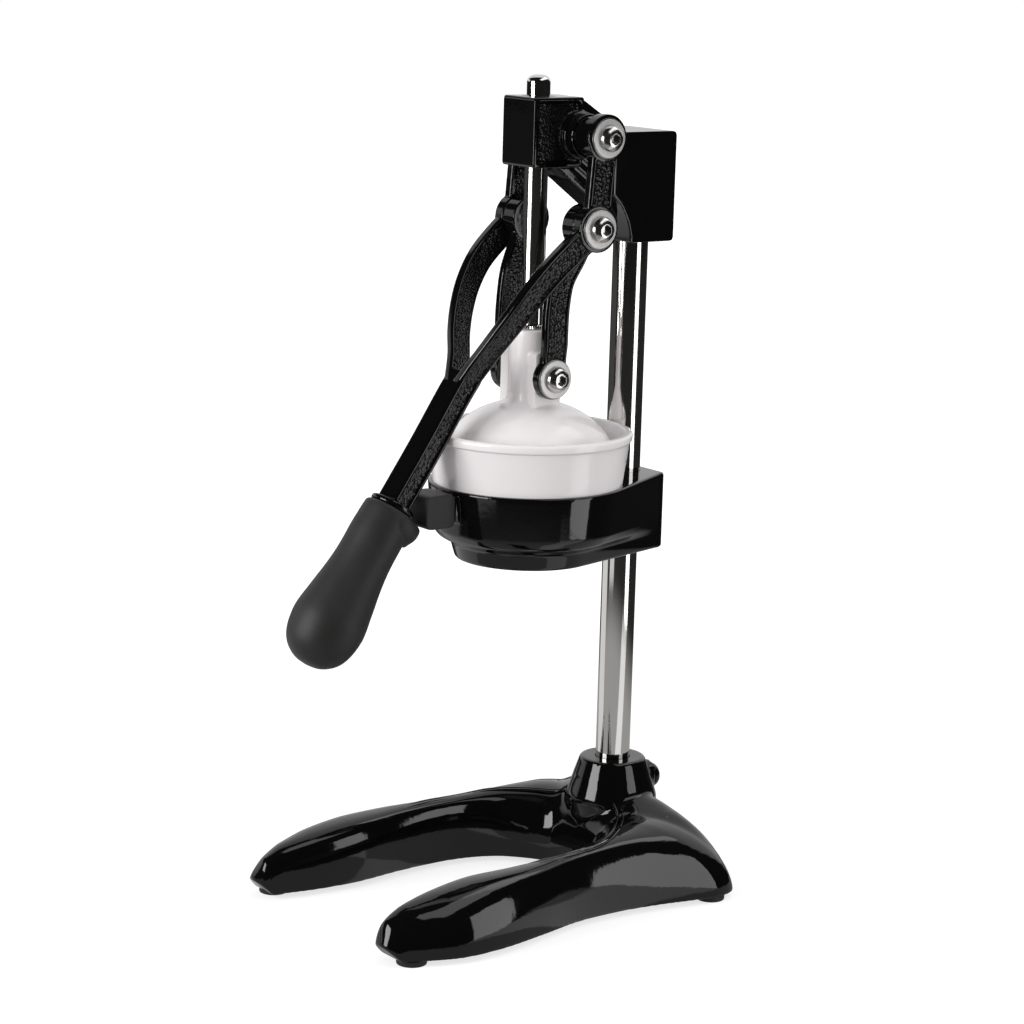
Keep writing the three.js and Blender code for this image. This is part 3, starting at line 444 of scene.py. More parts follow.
def rounded(corners, steps=6):
    """A closed outline through corners (a, b, radius), each rounded by its own radius."""
    outline = []
    places = [np.array(corner[:2], float) for corner in corners]
    for i, corner in enumerate(corners):
        here = places[i]
        radius = corner[2] if len(corner) > 2 else 0
        if radius == 0:
            outline.append(tuple(here))
            continue
        back, ahead = places[i - 1] - here, places[(i + 1) % len(places)] - here
        lengths = np.linalg.norm(back), np.linalg.norm(ahead)
        half = math.acos(np.clip(back @ ahead / lengths[0] / lengths[1], -1, 1)) / 2
        reach = min(radius / math.tan(half), lengths[0] / 2, lengths[1] / 2)
        enter, leave = here + back / lengths[0] * reach, here + ahead / lengths[1] * reach
        for share in np.linspace(0, 1, steps + 1):
            outline.append(tuple((1 - share) ** 2 * enter + 2 * share * (1 - share) * here
                                 + share**2 * leave))
    return outline


def soft_rubber():
    """Moulded rubber with a fine even grain."""
    shader = Shader(bpy.data.materials.new("charcoal_rubber"))
    grain = shader.noise(1500.0, 3.0, 0.6)
    patches = shader.noise(45.0, 3.0, 0.55)
    bump = shader.node("Bump", {}, {
        "Strength": 0.5, "Distance": 0.00012, "Height": grain + patches * 0.4})
    colour = shader.mix(patches, grey(0.0125, 0.02), grey(0.019, 0.02))
    return shader.surface(
        Base_Color=colour, Roughness=0.46 + patches * 0.12 + grain * 0.05, IOR=1.48, Normal=bump)


SOFT_RUBBER = soft_rubber()

for foot_name, (foot_x, foot_y) in FOOT_PLACES.items():
    profile = rounded([(0, 0), (FOOT_RADIUS, 0, 0.8), (FOOT_RADIUS, BASE_SOLE, 0.2),
                       (0, BASE_SOLE)], 4)
    foot = crisp(raw(moved(turned(profile, 64), foot_x, foot_y), foot_name + "_pad"))
    fit(foot, SOFT_RUBBER, "soft_rubber", "stand", foot_name)

# Column. One ground and polished steel bar, bright as a mirror. It stands in the base and ends
# inside the head, and both are clamped to it.
COLUMN_TOP = 400


def polished_steel():
    """Mirror-bright bar with very faint marks of the polishing belt."""
    shader = Shader(bpy.data.materials.new("polished_steel"))
    belt = shader.node("VectorMath", {"operation": "MULTIPLY"}, {
        0: shader.place, 1: (60.0, 60.0, 2600.0)})
    marks = shader.noise(1.0, 3.0, 0.6, belt)
    haze = shader.noise(30.0, 3.0, 0.6)
    bump = shader.node("Bump", {}, {"Strength": 0.05, "Distance": 0.00004, "Height": marks})
    colour = shader.mix(haze, (0.72, 0.70, 0.675, 1), (0.80, 0.785, 0.765, 1))
    return shader.surface(
        Base_Color=colour, Metallic=1.0, Roughness=0.05 + haze * 0.04 + marks * 0.02,
        Normal=bump)


POLISHED_STEEL = polished_steel()

column_profile = rounded([(0, COLUMN_FOOT), (COLUMN_RADIUS, COLUMN_FOOT, 0.8),
                          (COLUMN_RADIUS, COLUMN_TOP, 0.8), (0, COLUMN_TOP)], 4)
column = crisp(raw(moved(turned(column_profile, 128), y=COLUMN_BACK), "column_bar"))
fit(column, POLISHED_STEEL, "polished_steel", "stand", "column")

# Socket screws. Button heads with a hexagon socket; one, painted black, clamps the base to the column
# from behind, and six more in stainless hold the three pivots further on.
SCREW_RADIUS = 4
SCREW_CHAMFER = 0.4
BUTTON_RADIUS = 7
BUTTON_HEIGHT = 4.8
BUTTON_EDGE = 0.7
BUTTON_DOME = math.radians(62)
SOCKET_WIDTH = 5
SOCKET_DEPTH = 2.8


def stainless(name, level, roughness, metal=1.0):
    """Turned stainless steel: fine rings round its own axis and a little handling haze."""
    shader = Shader(bpy.data.materials.new(name))
    flat = shader.node("VectorMath", {"operation": "MULTIPLY"}, {
        0: shader.place, 1: (0.0, 1.0, 1.0)})
    radius = shader.node("VectorMath", {"operation": "LENGTH"}, {0: flat}, 1)
    rings = shader.noise(1.0, 2.0, 0.5, shader.node("CombineXYZ", {}, {
        0: radius * 5200.0, 1: 0.0, 2: 0.0}))
    haze = shader.noise(260.0, 3.0, 0.6)
    bump = shader.node("Bump", {}, {"Strength": 0.22, "Distance": 0.00006, "Height": rings})
    colour = shader.mix(haze, grey(level * 0.86, 0.02), grey(level, 0.015))
    return shader.surface(
        Base_Color=colour, Metallic=metal, Roughness=roughness + haze * 0.08 + rings * 0.05,
        Normal=bump)


BRIGHT_STAINLESS = stainless("bright_stainless", 0.62, 0.1)
SATIN_STAINLESS = stainless("satin_stainless", 0.7, 0.38, 0.6)
DARK_STEEL = stainless("dark_steel", 0.22, 0.26)


def button_screw(name, length, at, facing):
    """A domed socket screw drawn along Z, seated at its place and facing out."""
    profile = [(0, -length), (SCREW_RADIUS - SCREW_CHAMFER, -length),
               (SCREW_RADIUS, -length + SCREW_CHAMFER), (SCREW_RADIUS, 0),
               (BUTTON_RADIUS - 0.2, 0), (BUTTON_RADIUS, 0.2), (BUTTON_RADIUS, BUTTON_EDGE)]
    for share in np.linspace(0, 1, 12):
        angle = share * BUTTON_DOME
        rise = (BUTTON_HEIGHT - BUTTON_EDGE) * math.sin(angle) / math.sin(BUTTON_DOME)
        profile.append((BUTTON_RADIUS * math.cos(angle) ** 0.8, BUTTON_EDGE + rise))
    profile.append((0, BUTTON_HEIGHT))
    corner = SOCKET_WIDTH / 2 / math.cos(math.pi / 6)
    socket = turned([(0, BUTTON_HEIGHT - SOCKET_DEPTH), (corner, BUTTON_HEIGHT - SOCKET_DEPTH),
                     (corner, BUTTON_HEIGHT - 0.3), (corner + 0.8, BUTTON_HEIGHT + 0.5),
                     (0, BUTTON_HEIGHT + 0.5)], 6)
    made = raw(moved(turned(profile, 72), *at, facing=facing), name, at)
    carve(made, (), [moved(socket, *at, facing=facing)])
    return crisp(settled(made), 24)


base_screw = button_screw("base_screw", CLAMP_PAD_BACK - COLUMN_BACK - COLUMN_RADIUS - 0.3,
                          (0, CLAMP_PAD_BACK + 0.3, CLAMP_HEIGHT), "Y")
fit(base_screw, GLOSS_BLACK, "black_paint", "stand", "base_clamp_screw")

# Head casting. One iron casting in the same paint: the block that guides the ram, with a sunk
# panel on each side, a web with slanting ribs, the block on the column, and the cross boss for
# the handle.
BLOCK_HALF = 13.9
BLOCK_FRONT = -12.5
BLOCK_BACK = 19.9
BLOCK_TOP = 433.2
BLOCK_BOTTOM = 396.8
PANEL_DEPTH = 1.2
HEAD_HALF = 20
HEAD_FRONT = 36.9
HEAD_BACK = 78.6
HEAD_TOP = 415
HEAD_BOTTOM = 356.1
HEAD_SCREW = (HEAD_TOP + HEAD_BOTTOM) / 2
PIVOT_BACK = 17.5
PIVOT_HEIGHT = 413.5
BOSS_REACH = 22
CROSS_RADIUS = 11.5
WEB_SLOPE = 0.73
WEB_START = 6
WEB_END = 49.5
WEB_HALF = 10
GROOVE_PITCH = 5.6
GROOVE_WIDTH = 3.2
GROOVE_FLOOR = 9
PANEL_EDGE = 2.5
SCALLOP_RADIUS = 36.8
SCALLOP_PLACE = (0, 12.8, 354)
SCREW_BORE = 4.3
COLUMN_BORE = COLUMN_RADIUS + 0.3
RAM_RADIUS = 6.2


def box(y_low, y_high, z_low, z_high, radius=0):
    return rounded([(y_low, z_low, radius), (y_high, z_low, radius),
                    (y_high, z_high, radius), (y_low, z_high, radius)])


block = slab(box(BLOCK_FRONT, BLOCK_BACK, BLOCK_BOTTOM, BLOCK_TOP, 1.6), -BLOCK_HALF, BLOCK_HALF)
panel = box(BLOCK_FRONT + PANEL_EDGE, BLOCK_BACK - PANEL_EDGE, BLOCK_BOTTOM + PANEL_EDGE,
            BLOCK_TOP - PANEL_EDGE, 1)
column_block = slab(box(HEAD_FRONT, HEAD_BACK, HEAD_BOTTOM, HEAD_TOP, 2.4), -HEAD_HALF, HEAD_HALF)
web_foot = BLOCK_BOTTOM - WEB_SLOPE * (WEB_END - WEB_START)
web = slab(rounded([
    (WEB_START, BLOCK_BOTTOM + 1), (WEB_START, BLOCK_BOTTOM), (WEB_END, web_foot),
    (WEB_END + 8.5, web_foot), (WEB_END + 8.5, HEAD_TOP), (WEB_END, HEAD_TOP, 4),
    (BLOCK_BACK, BLOCK_TOP, 1), (0, BLOCK_TOP)]), -WEB_HALF, WEB_HALF)
scallop = moved(bar(SCALLOP_RADIUS, -24, 24, 128), *SCALLOP_PLACE, "X")
grooves = []
for step in range(3):
    rise = (step + 0.8) * GROOVE_PITCH * math.hypot(1, WEB_SLOPE)
    width = GROOVE_WIDTH * math.hypot(1, WEB_SLOPE)
    slant = [(y, BLOCK_BOTTOM - WEB_SLOPE * (y - WEB_START) + rise + lift)
             for y, lift in ((WEB_START, 0), (HEAD_FRONT, 0), (HEAD_FRONT, width), (WEB_START, width))]
    grooves += [slab(slant, GROOVE_FLOOR, WEB_HALF + 2), slab(slant, -WEB_HALF - 2, -GROOVE_FLOOR)]

head_block = carve(raw(block), (), [
    slab(panel, BLOCK_HALF - PANEL_DEPTH, 30), slab(panel, -30, -BLOCK_HALF + PANEL_DEPTH)])
head = cast(
    "head_iron",
    [carve(raw(column_block), (), [scallop]), carve(raw(web), (), grooves), head_block,
     moved(bar(CROSS_RADIUS, -BOSS_REACH, BOSS_REACH), 0, PIVOT_BACK, PIVOT_HEIGHT, "X"),
     moved(bar(CROSS_RADIUS + 1.1, -15.2, 15.2), 0, PIVOT_BACK, PIVOT_HEIGHT, "X")],
    [], 0.5, 4)
carve(head, (), [
    bar(RAM_RADIUS + 2.5, HEAD_BOTTOM, BLOCK_TOP + 2),
    moved(bar(COLUMN_BORE, HEAD_BOTTOM - 2, COLUMN_TOP + 0.3), y=COLUMN_BACK),
    moved(bar(SCREW_BORE, 10.5, 24), 0, PIVOT_BACK, PIVOT_HEIGHT, "X"),
    moved(bar(SCREW_BORE, -24, -10.5), 0, PIVOT_BACK, PIVOT_HEIGHT, "X"),
    moved(bar(SCREW_BORE, COLUMN_BACK, HEAD_BACK + 2), z=HEAD_SCREW, facing="Y")])
crisp(settled(head), SOFT_EDGE)


def pebble(made, test):
    """Marks where the mould's pebbled skin shows: test gives 0 to 1 for places and normals."""
    mesh = made.data
    count = len(mesh.vertices)
    places, normals = np.empty(count * 3), np.empty(count * 3)
    mesh.vertices.foreach_get("co", places)
    mesh.vertices.foreach_get("normal", normals)
    places = places.reshape(-1, 3) / MM
    marks = np.clip(test(places, normals.reshape(-1, 3)), 0, 1)
    layer = mesh.attributes.new("pebbled", "FLOAT", "POINT")
    layer.data.foreach_set("value", marks.astype(np.float32))


def head_panel(places, normals):
    x, y, z = np.abs(places[:, 0]), places[:, 1], places[:, 2]
    inside = np.minimum(np.minimum(y - BLOCK_FRONT, BLOCK_BACK - y),
                        np.minimum(z - BLOCK_BOTTOM, BLOCK_TOP - z)) - PANEL_EDGE
    return inside * (x < BLOCK_HALF - 0.5) * (np.abs(normals[:, 0]) > 0.5) * 0.35


pebble(head, head_panel)
fit(head, GLOSS_BLACK, "black_paint", "stand", "head_casting")

# Bush and set screw of the head. A steel sleeve guides the ram, and a headless screw at the back
# clamps the casting to the column.
RAM_BORE = RAM_RADIUS + 0.15
BUSH_RADIUS = RAM_RADIUS + 2.2
bush = crisp(raw(turned([
    (RAM_BORE, BLOCK_BOTTOM), (BUSH_RADIUS, BLOCK_BOTTOM), (BUSH_RADIUS, BLOCK_TOP),
    (RAM_BORE, BLOCK_TOP), (RAM_BORE, BLOCK_BOTTOM)], 96), "ram_sleeve"))
fit(bush, DARK_STEEL, "dark_steel", "stand", "ram_bush")


def set_screw(name, back, height):
    """A headless screw that ends flush with the casting's back."""
    corner = 2 / math.cos(math.pi / 6)
    front = COLUMN_BACK + COLUMN_BORE
    made = raw(moved(bar(SCREW_RADIUS, front, back, 48), z=height, facing="Y"), name,
               (0, front, height))
    carve(made, (), [moved(bar(corner, back - SOCKET_DEPTH, back + 1, 6), z=height, facing="Y")])
    return crisp(settled(made))


fit(set_screw("head_grub_screw", HEAD_BACK, HEAD_SCREW), DARK_STEEL, "dark_steel", "stand",
    "head_set_screw")

# Cup holder. One casting in two tiers round the cup, drawn back to a block on the column, with a
# short tongue in front; painted as the base is, and bored for the cup.
HOLDER_TOP = 229
HOLDER_BOTTOM = 187.2
HOLDER_STEP = 204.7
HOLDER_SHOULDER = 196.1
HOLDER_TOP_RADIUS = 53.4
HOLDER_STEP_RADIUS = 50.9
HOLDER_WAIST_RADIUS = 40.7
HOLDER_LOW_RADIUS = 38.3
HOLDER_SWEEP = [(0, 0), (0.37, 0.25), (0.7, 0.49), (1, 1)]
HOLDER_HALF = 20
HOLDER_BACK = 81
HOLDER_CORNER = 5
CUP_SEAT = 210
CUP_BORE = 51.3
OUTLET_RADIUS = 30
LEDGE_RADIUS = 42
HOLDER_SCREW = 208
TONGUE = (-68, -50.9, 213.6, 225.4)
TONGUE_HALF = 6.5
TONGUE_ROOT = (-54.6, -49.9, 212.6, 226.4)
TONGUE_ROOT_HALF = 9.75


def teardrop(radius, half, back, height, steps=120):
    """A round front whose sides run on to a straight block at the back."""
    side = back - HOLDER_CORNER
    tangent = math.atan2(side, half) - math.acos(radius / math.hypot(half, side))
    ring = []
    for share in np.linspace(0, 1, steps + 1):
        angle = tangent - (math.pi + 2 * tangent) * share
        ring.append((radius * math.cos(angle), radius * math.sin(angle), height))
    for turn in np.linspace(0, math.pi / 2, 9):
        ring.append((-half + HOLDER_CORNER * (1 - math.cos(turn)),
                     side + HOLDER_CORNER * math.sin(turn), height))
    for turn in np.linspace(math.pi / 2, 0, 9):
        ring.append((half - HOLDER_CORNER * (1 - math.cos(turn)),
                     side + HOLDER_CORNER * math.sin(turn), height))
    return ring


holder_body = loft([
    teardrop(HOLDER_LOW_RADIUS - 1, HOLDER_HALF - 1, HOLDER_BACK - 1, HOLDER_BOTTOM),
    teardrop(HOLDER_LOW_RADIUS, HOLDER_HALF, HOLDER_BACK, HOLDER_BOTTOM + 1),
    *(teardrop(HOLDER_WAIST_RADIUS + (HOLDER_STEP_RADIUS - HOLDER_WAIST_RADIUS) * out, HOLDER_HALF,
               HOLDER_BACK, HOLDER_SHOULDER + (HOLDER_STEP - HOLDER_SHOULDER) * lift)
      for out, lift in through(HOLDER_SWEEP, np.linspace(0, 1, 10))),
    teardrop(HOLDER_TOP_RADIUS, HOLDER_HALF, HOLDER_BACK, HOLDER_TOP - 0.5),
    teardrop(HOLDER_TOP_RADIUS - 0.5, HOLDER_HALF - 0.5, HOLDER_BACK - 0.5, HOLDER_TOP)])
holder = cast(
    "holder_iron",
    [holder_body, slab(box(*TONGUE, 2), -TONGUE_HALF, TONGUE_HALF),
     slab(box(*TONGUE_ROOT, 2), -TONGUE_ROOT_HALF, TONGUE_ROOT_HALF)], [], 0.75, 3)
carve(holder, (), [
    turned([(0, HOLDER_BOTTOM - 3), (OUTLET_RADIUS, HOLDER_BOTTOM - 3),
            (OUTLET_RADIUS, HOLDER_BOTTOM + 1), (LEDGE_RADIUS, CUP_SEAT - 1),
            (LEDGE_RADIUS, CUP_SEAT), (CUP_BORE - 1, CUP_SEAT), (CUP_BORE, CUP_SEAT + 1),
            (CUP_BORE, HOLDER_TOP + 3), (0, HOLDER_TOP + 3)], 160),
    moved(bar(COLUMN_BORE, HOLDER_BOTTOM - 3, HOLDER_TOP + 3), y=COLUMN_BACK),
    moved(bar(SCREW_BORE, COLUMN_BACK, HOLDER_BACK + 3), z=HOLDER_SCREW, facing="Y")])
crisp(settled(holder), SOFT_EDGE)
fit(holder, GLOSS_BLACK, "black_paint", "stand", "cup_holder")
fit(set_screw("holder_grub_screw", HOLDER_BACK, HOLDER_SCREW), DARK_STEEL, "dark_steel", "stand",
    "holder_set_screw")

# Rest bumper. A soft rubber block moulded with a slot and pushed over the holder's tongue, where
# the handle comes to rest.
BUMPER = (-73.6, -54.9, 210.6, 228.4)
BUMPER_HALF = 11
SLOT_HALF = TONGUE_HALF + 0.3
bumper = cast("bumper_block", [slab(box(*BUMPER, 4), -BUMPER_HALF, BUMPER_HALF)], [], 0.6, 8)
carve(bumper, (), [slab(box(TONGUE[0] - 0.3, -40, TONGUE[2] - 0.3, TONGUE[3] + 0.3, 2),
                        -SLOT_HALF, SLOT_HALF)])
fit(crisp(settled(bumper), SOFT_EDGE), SOFT_RUBBER, "soft_rubber", "stand", "rest_bumper")

# Strainer cup. One glossy white moulding: a straight-sided bowl with a rolled lip and a floor with
# slots for the juice. It stands loose in the holder and lifts out.
CUP_RIM = 257.4
CUP_LIP_RADIUS = 55.7
CUP_LIP_HEIGHT = 6.6
CUP_WALL_TOP = 54.1
CUP_WALL_MIDDLE = 51
CUP_FOOT_RADIUS = 50
CUP_WALL = 2.7
CUP_FLOOR = 2.5
DRAIN_COUNT = 16
DRAIN_HALF = 1.5
DRAIN_INNER = 30
DRAIN_OUTER = 43


def white_plastic():
    """Glossy off-white moulding with a faint unevenness of its skin."""
    shader = Shader(bpy.data.materials.new("white_plastic"))
    skin = shader.noise(140.0)
    fine = shader.noise(1100.0)
    bump = shader.node("Bump", {}, {
        "Strength": 0.25, "Distance": 0.00008, "Height": skin + fine * 0.2})
    stain = shader.noise(22.0, 3.0, 0.5)
    colour = shader.mix(stain, (0.84, 0.805, 0.81, 1), (0.88, 0.845, 0.85, 1))
    return shader.surface(
        Base_Color=colour, Roughness=0.12 + skin * 0.05, IOR=1.5, Subsurface_Weight=0.12,
        Subsurface_Radius=(0.004, 0.003, 0.0025), Subsurface_Scale=0.5, Normal=bump)


WHITE_PLASTIC = white_plastic()

cup_bottom = CUP_SEAT + 0.3
lip_bottom = CUP_RIM - CUP_LIP_HEIGHT
cup_profile = rounded([
    (0, cup_bottom), (CUP_FOOT_RADIUS, cup_bottom, 1.4), (CUP_WALL_MIDDLE, HOLDER_TOP, 8),
    (CUP_WALL_TOP, lip_bottom + 1.4, 0.9), (CUP_LIP_RADIUS - 0.2, lip_bottom + 2.2, 1.2),
    (CUP_LIP_RADIUS + 0.1, CUP_RIM, 2.4), (CUP_WALL_TOP - CUP_WALL, CUP_RIM, 1.4),
    (CUP_WALL_MIDDLE - CUP_WALL, HOLDER_TOP, 8),
    (CUP_FOOT_RADIUS - CUP_WALL, cup_bottom + CUP_FLOOR, 3), (0, cup_bottom + CUP_FLOOR)], 8)
cup = raw(turned(cup_profile, 192), "cup_moulding")
drains = []
for step in range(DRAIN_COUNT):
    angle = step * 2 * math.pi / DRAIN_COUNT
    places, faces = slab(box(-DRAIN_HALF, DRAIN_HALF, CUP_SEAT - 2, CUP_SEAT + 6), DRAIN_INNER,
                         DRAIN_OUTER)
    turn = np.array([[math.cos(angle), -math.sin(angle), 0],
                     [math.sin(angle), math.cos(angle), 0], [0, 0, 1]])
    drains.append((places @ turn.T, faces))
carve(cup, (), drains)
fit(crisp(settled(cup), 35), WHITE_PLASTIC, "white_plastic", "stand", "strainer_cup")

# Reamer cone. A ribbed moulding in the same white plastic, which stands on the cup's floor under
# the bell and takes the half fruit.
CONE_FOOT_RADIUS = 26
CONE_HEIGHT = 43
CONE_RIBS = 10
CONE_RIB_DEPTH = 2.6
CONE_ROWS = [(0, 1, 0.4), (0.06, 1, 1), (0.3, 0.86, 1), (0.55, 0.66, 1), (0.78, 0.43, 0.8),
             (0.92, 0.24, 0.5), (0.99, 0.09, 0.2)]
cone_rings = []
angles = np.linspace(0, 2 * math.pi, 20 * CONE_RIBS, endpoint=False)
groove = (0.5 - 0.5 * np.cos(CONE_RIBS * angles)) ** 0.7
for rise, width, rib in through(CONE_ROWS, np.linspace(0, 1, 60)):
    radius = width * (CONE_FOOT_RADIUS - CONE_RIB_DEPTH * rib * groove)
    height = cup_bottom + CUP_FLOOR + rise * CONE_HEIGHT
    cone_rings.append([(r * math.cos(a), r * math.sin(a), height) for r, a in zip(radius, angles)])
fit(crisp(raw(loft(cone_rings), "cone_moulding"), 60), WHITE_PLASTIC, "white_plastic", "stand",
    "reamer_cone")

# Presser bell. A white moulded dome, open below; its neck holds the ram, and two lugs take the
# metal inserts for the lowest screws.
CRANK_LENGTH = 47
CRANK_LEAN = math.radians(4.6)
LINK_LENGTH = 81.3
LINK_BACK = PIVOT_BACK - CRANK_LENGTH * math.sin(CRANK_LEAN)
LINK_HEIGHT = PIVOT_HEIGHT - CRANK_LENGTH * math.cos(CRANK_LEAN)
LINK_LEAN = math.asin(LINK_BACK / LINK_LENGTH)
RAM_PIVOT = LINK_HEIGHT - LINK_LENGTH * math.cos(LINK_LEAN)
BELL_RADIUS = 46.5
BELL_BOTTOM = 240
BELL_TOP = 273
BELL_WALL = 3
NECK_RADIUS = 12
NECK_TOP = 311.2
LUG_REACH = 15.6
LUG_HALF = 8.5
LUG_TOP = 300
INSERT_RADIUS = 5.65
RAM_END = 295

bell_profile = []
for share in np.linspace(0, 1, 24):
    angle = (1 - share) * math.pi / 2
    bell_profile.append(((BELL_RADIUS - BELL_WALL) * math.cos(angle),
                         BELL_BOTTOM + (BELL_TOP - BELL_BOTTOM - 6) * math.sin(angle)))
last = math.acos((NECK_RADIUS + 3) / BELL_RADIUS)
for share in np.linspace(0, 1, 36):
    bell_profile.append((BELL_RADIUS * math.cos(share * last),
                         BELL_BOTTOM + (BELL_TOP - BELL_BOTTOM) * math.sin(share * last)))
neck_foot = BELL_BOTTOM + (BELL_TOP - BELL_BOTTOM) * math.sin(last)
bell_profile += [(NECK_RADIUS + 0.9, neck_foot + 2.1), (NECK_RADIUS, neck_foot + 6),
                 (NECK_RADIUS, NECK_TOP - 0.6), (NECK_RADIUS - 0.6, NECK_TOP), (0, NECK_TOP)]
bell = cast(
    "bell_moulding",
    [turned(bell_profile, 160),
     slab(box(-LUG_HALF, LUG_HALF, BELL_TOP - 3, LUG_TOP, 2), -LUG_REACH, LUG_REACH)], [], 0.55, 3)
carve(bell, (), [
    bar(RAM_BORE, RAM_END, NECK_TOP + 2),
    moved(bar(INSERT_RADIUS, 3.7, 20), z=RAM_PIVOT, facing="X"),
    moved(bar(INSERT_RADIUS, -20, -3.7), z=RAM_PIVOT, facing="X")])
fit(crisp(settled(bell), SOFT_EDGE), WHITE_PLASTIC, "white_plastic", "ram", "presser_bell")

# Ram and lock ring. A polished rod with a domed top slides through the head; a knurled ring locks
# it in the neck of the bell.
RAM_TOP = 444.3
KNURLS = 44
# Radius, height and depth of the knurling at each edge of the ring.
RING_ROWS = [(RAM_BORE, 0, 0), (7.6, 0, 0), (8.2, 0.5, 1), (8.2, 1.9, 1), (7.6, 2.4, 0),
             (RAM_BORE, 2.4, 0), (RAM_BORE, 0, 0)]

rod_profile = [(0, RAM_END), (RAM_RADIUS - 0.5, RAM_END), (RAM_RADIUS, RAM_END + 0.5)]
for share in np.linspace(0, 1, 24):
    angle = share * math.pi / 2
    rod_profile.append((RAM_RADIUS * math.cos(angle) ** 0.75,
                        RAM_TOP - RAM_RADIUS * 0.62 * (1 - math.sin(angle))))
fit(crisp(raw(turned(rod_profile, 96), "ram_bar")), POLISHED_STEEL, "polished_steel", "ram",
    "ram_rod")

ring_steps = 4 * KNURLS
angles = np.linspace(0, 2 * math.pi, ring_steps, endpoint=False)
ring_rings = []
for radius, height, depth in RING_ROWS:
    reach = radius - 0.3 * depth * (0.5 - 0.5 * np.cos(angles * KNURLS))
    ring_rings.append([(r * math.cos(a), r * math.sin(a), NECK_TOP + height)
                       for r, a in zip(reach, angles)])
ring_shape = np.array(ring_rings).reshape(-1, 3), bands(len(ring_rings), ring_steps)
lock_ring = crisp(raw(ring_shape, "knurled_ring"))
fit(lock_ring, BRIGHT_STAINLESS, "stainless", "ram", "ram_lock_ring")

# Handle fork. One casting: two crank arms turn on the head's cross boss and run on as prongs that
# meet in a single stem. The outer sides are sunk between raised rims and keep a pebbled skin.
CRANK_INNER = 30.9
CRANK_OUTER = 37.4
EYE_RADIUS = 12.4
ARM_THICK = 6
ARM_WIDE = 15.5
ARM_RIM = 2.2
ARM_PANEL = 1.1
STEM_THICK = 16
STEM_WIDE = 12.6
PRONG_DROP = LINK_HEIGHT - RAM_PIVOT + 61.54
PRONG_REACH = 100.2
TANG_RADIUS = 6
TANG_LENGTH = 68
GRIP_LEAN = math.radians(33.7)
STEM_END = (LINK_BACK - PRONG_REACH, LINK_HEIGHT - PRONG_DROP)
CRANK_MIDDLE = (CRANK_INNER + CRANK_OUTER) / 2
PRONG_ROWS = [(1, 0, 0), (0.987, 0.135, 0.075), (0.94, 0.257, 0.153), (0.838, 0.353, 0.238),
              (0.7, 0.425, 0.322), (0.515, 0.486, 0.407), (0.302, 0.536, 0.491),
              (0.117, 0.599, 0.583)]
STEM_ROWS = [(0, 0.56, 0.548), (0, 0.628, 0.614), (0, 0.8, 0.797), (0, 1, 1)]


def channel(half_thick, half_wide, rim, depth, both=False):
    """A bar's section with a sunk panel on its outer side, or on both sides."""
    outer = [(half_thick - 1, -half_wide), (half_thick, -half_wide + 1),
             (half_thick, -half_wide + rim), (half_thick - depth, -half_wide + rim + depth * 0.7),
             (half_thick - depth, half_wide - rim - depth * 0.7), (half_thick, half_wide - rim),
             (half_thick, half_wide - 1), (half_thick - 1, half_wide)]
    plain = [(-half_thick + 1, half_wide), (-half_thick, half_wide - 1),
             (-half_thick, -half_wide + 1), (-half_thick + 1, -half_wide)]
    return outer + ([(-a, b) for a, b in reversed(outer)] if both else plain)


def route(rows, shares):
    """Middle line and headings of a bar that bends in three dimensions."""
    places = through(rows, shares)
    headings = through(rows, np.minimum(shares + 1e-4, 1))
    headings -= through(rows, np.maximum(shares - 1e-4, 0))
    headings[:, 0] = 0
    return places, headings / np.linalg.norm(headings, axis=1)[:, None]


def sweep(rows, steps, first, last=None):
    """Sets sections square to a line, with their thickness along X, from the first to the last."""
    places, headings = route(rows, np.linspace(0, 1, steps + 1))
    first = np.array(first)
    change = (np.array(last) - first if last else 0 * first) / steps
    return loft([[(p[0] + a, p[1] - h[2] * b, p[2] + h[1] * b) for a, b in first + change * i]
                 for i, (p, h) in enumerate(zip(places, headings))])


def sunk(lines, half, wide, rim, depth):
    """A test for the sunk panels of bars along lines, mirrored about the middle."""
    samples, headings = [np.concatenate(part) for part in zip(*(
        route(rows, np.linspace(0, 1, 160)) for rows in lines))]
    tree = KDTree(len(samples))
    for i, sample in enumerate(samples):
        tree.insert((0, *sample[1:]), i)
    tree.balance()

    def test(places, normals):
        marks = np.zeros(len(places))
        for i, place in enumerate(places):
            folded = (abs(place[0]), place[1], place[2])
            _, near, _ = tree.find((0, *folded[1:]))
            part = folded - samples[near]
            heading = headings[near]
            side = abs(part[2] * heading[1] - part[1] * heading[2])
            outer = half - depth * 1.5 < part[0] < half - depth * 0.45
            if (outer or -half - 0.4 < part[0] < 0.5 - half) and abs(normals[i][0]) > 0.4:
                marks[i] = (wide / 2 - rim - side) * 0.9
        return marks
    return test


def from_shares(rows):
    return [(x * CRANK_MIDDLE, LINK_BACK - reach * PRONG_REACH, LINK_HEIGHT - drop * PRONG_DROP)
            for x, reach, drop in rows]


def along_grip(shape):
    """Turns a piece drawn along Z to the line of the grip and sets it at the stem's end."""
    turn = math.pi - GRIP_LEAN
    places, faces = shape
    rotation = np.array([[1, 0, 0], [0, math.cos(turn), -math.sin(turn)],
                         [0, math.sin(turn), math.cos(turn)]])
    return places @ rotation.T + np.array([0, *STEM_END]), faces


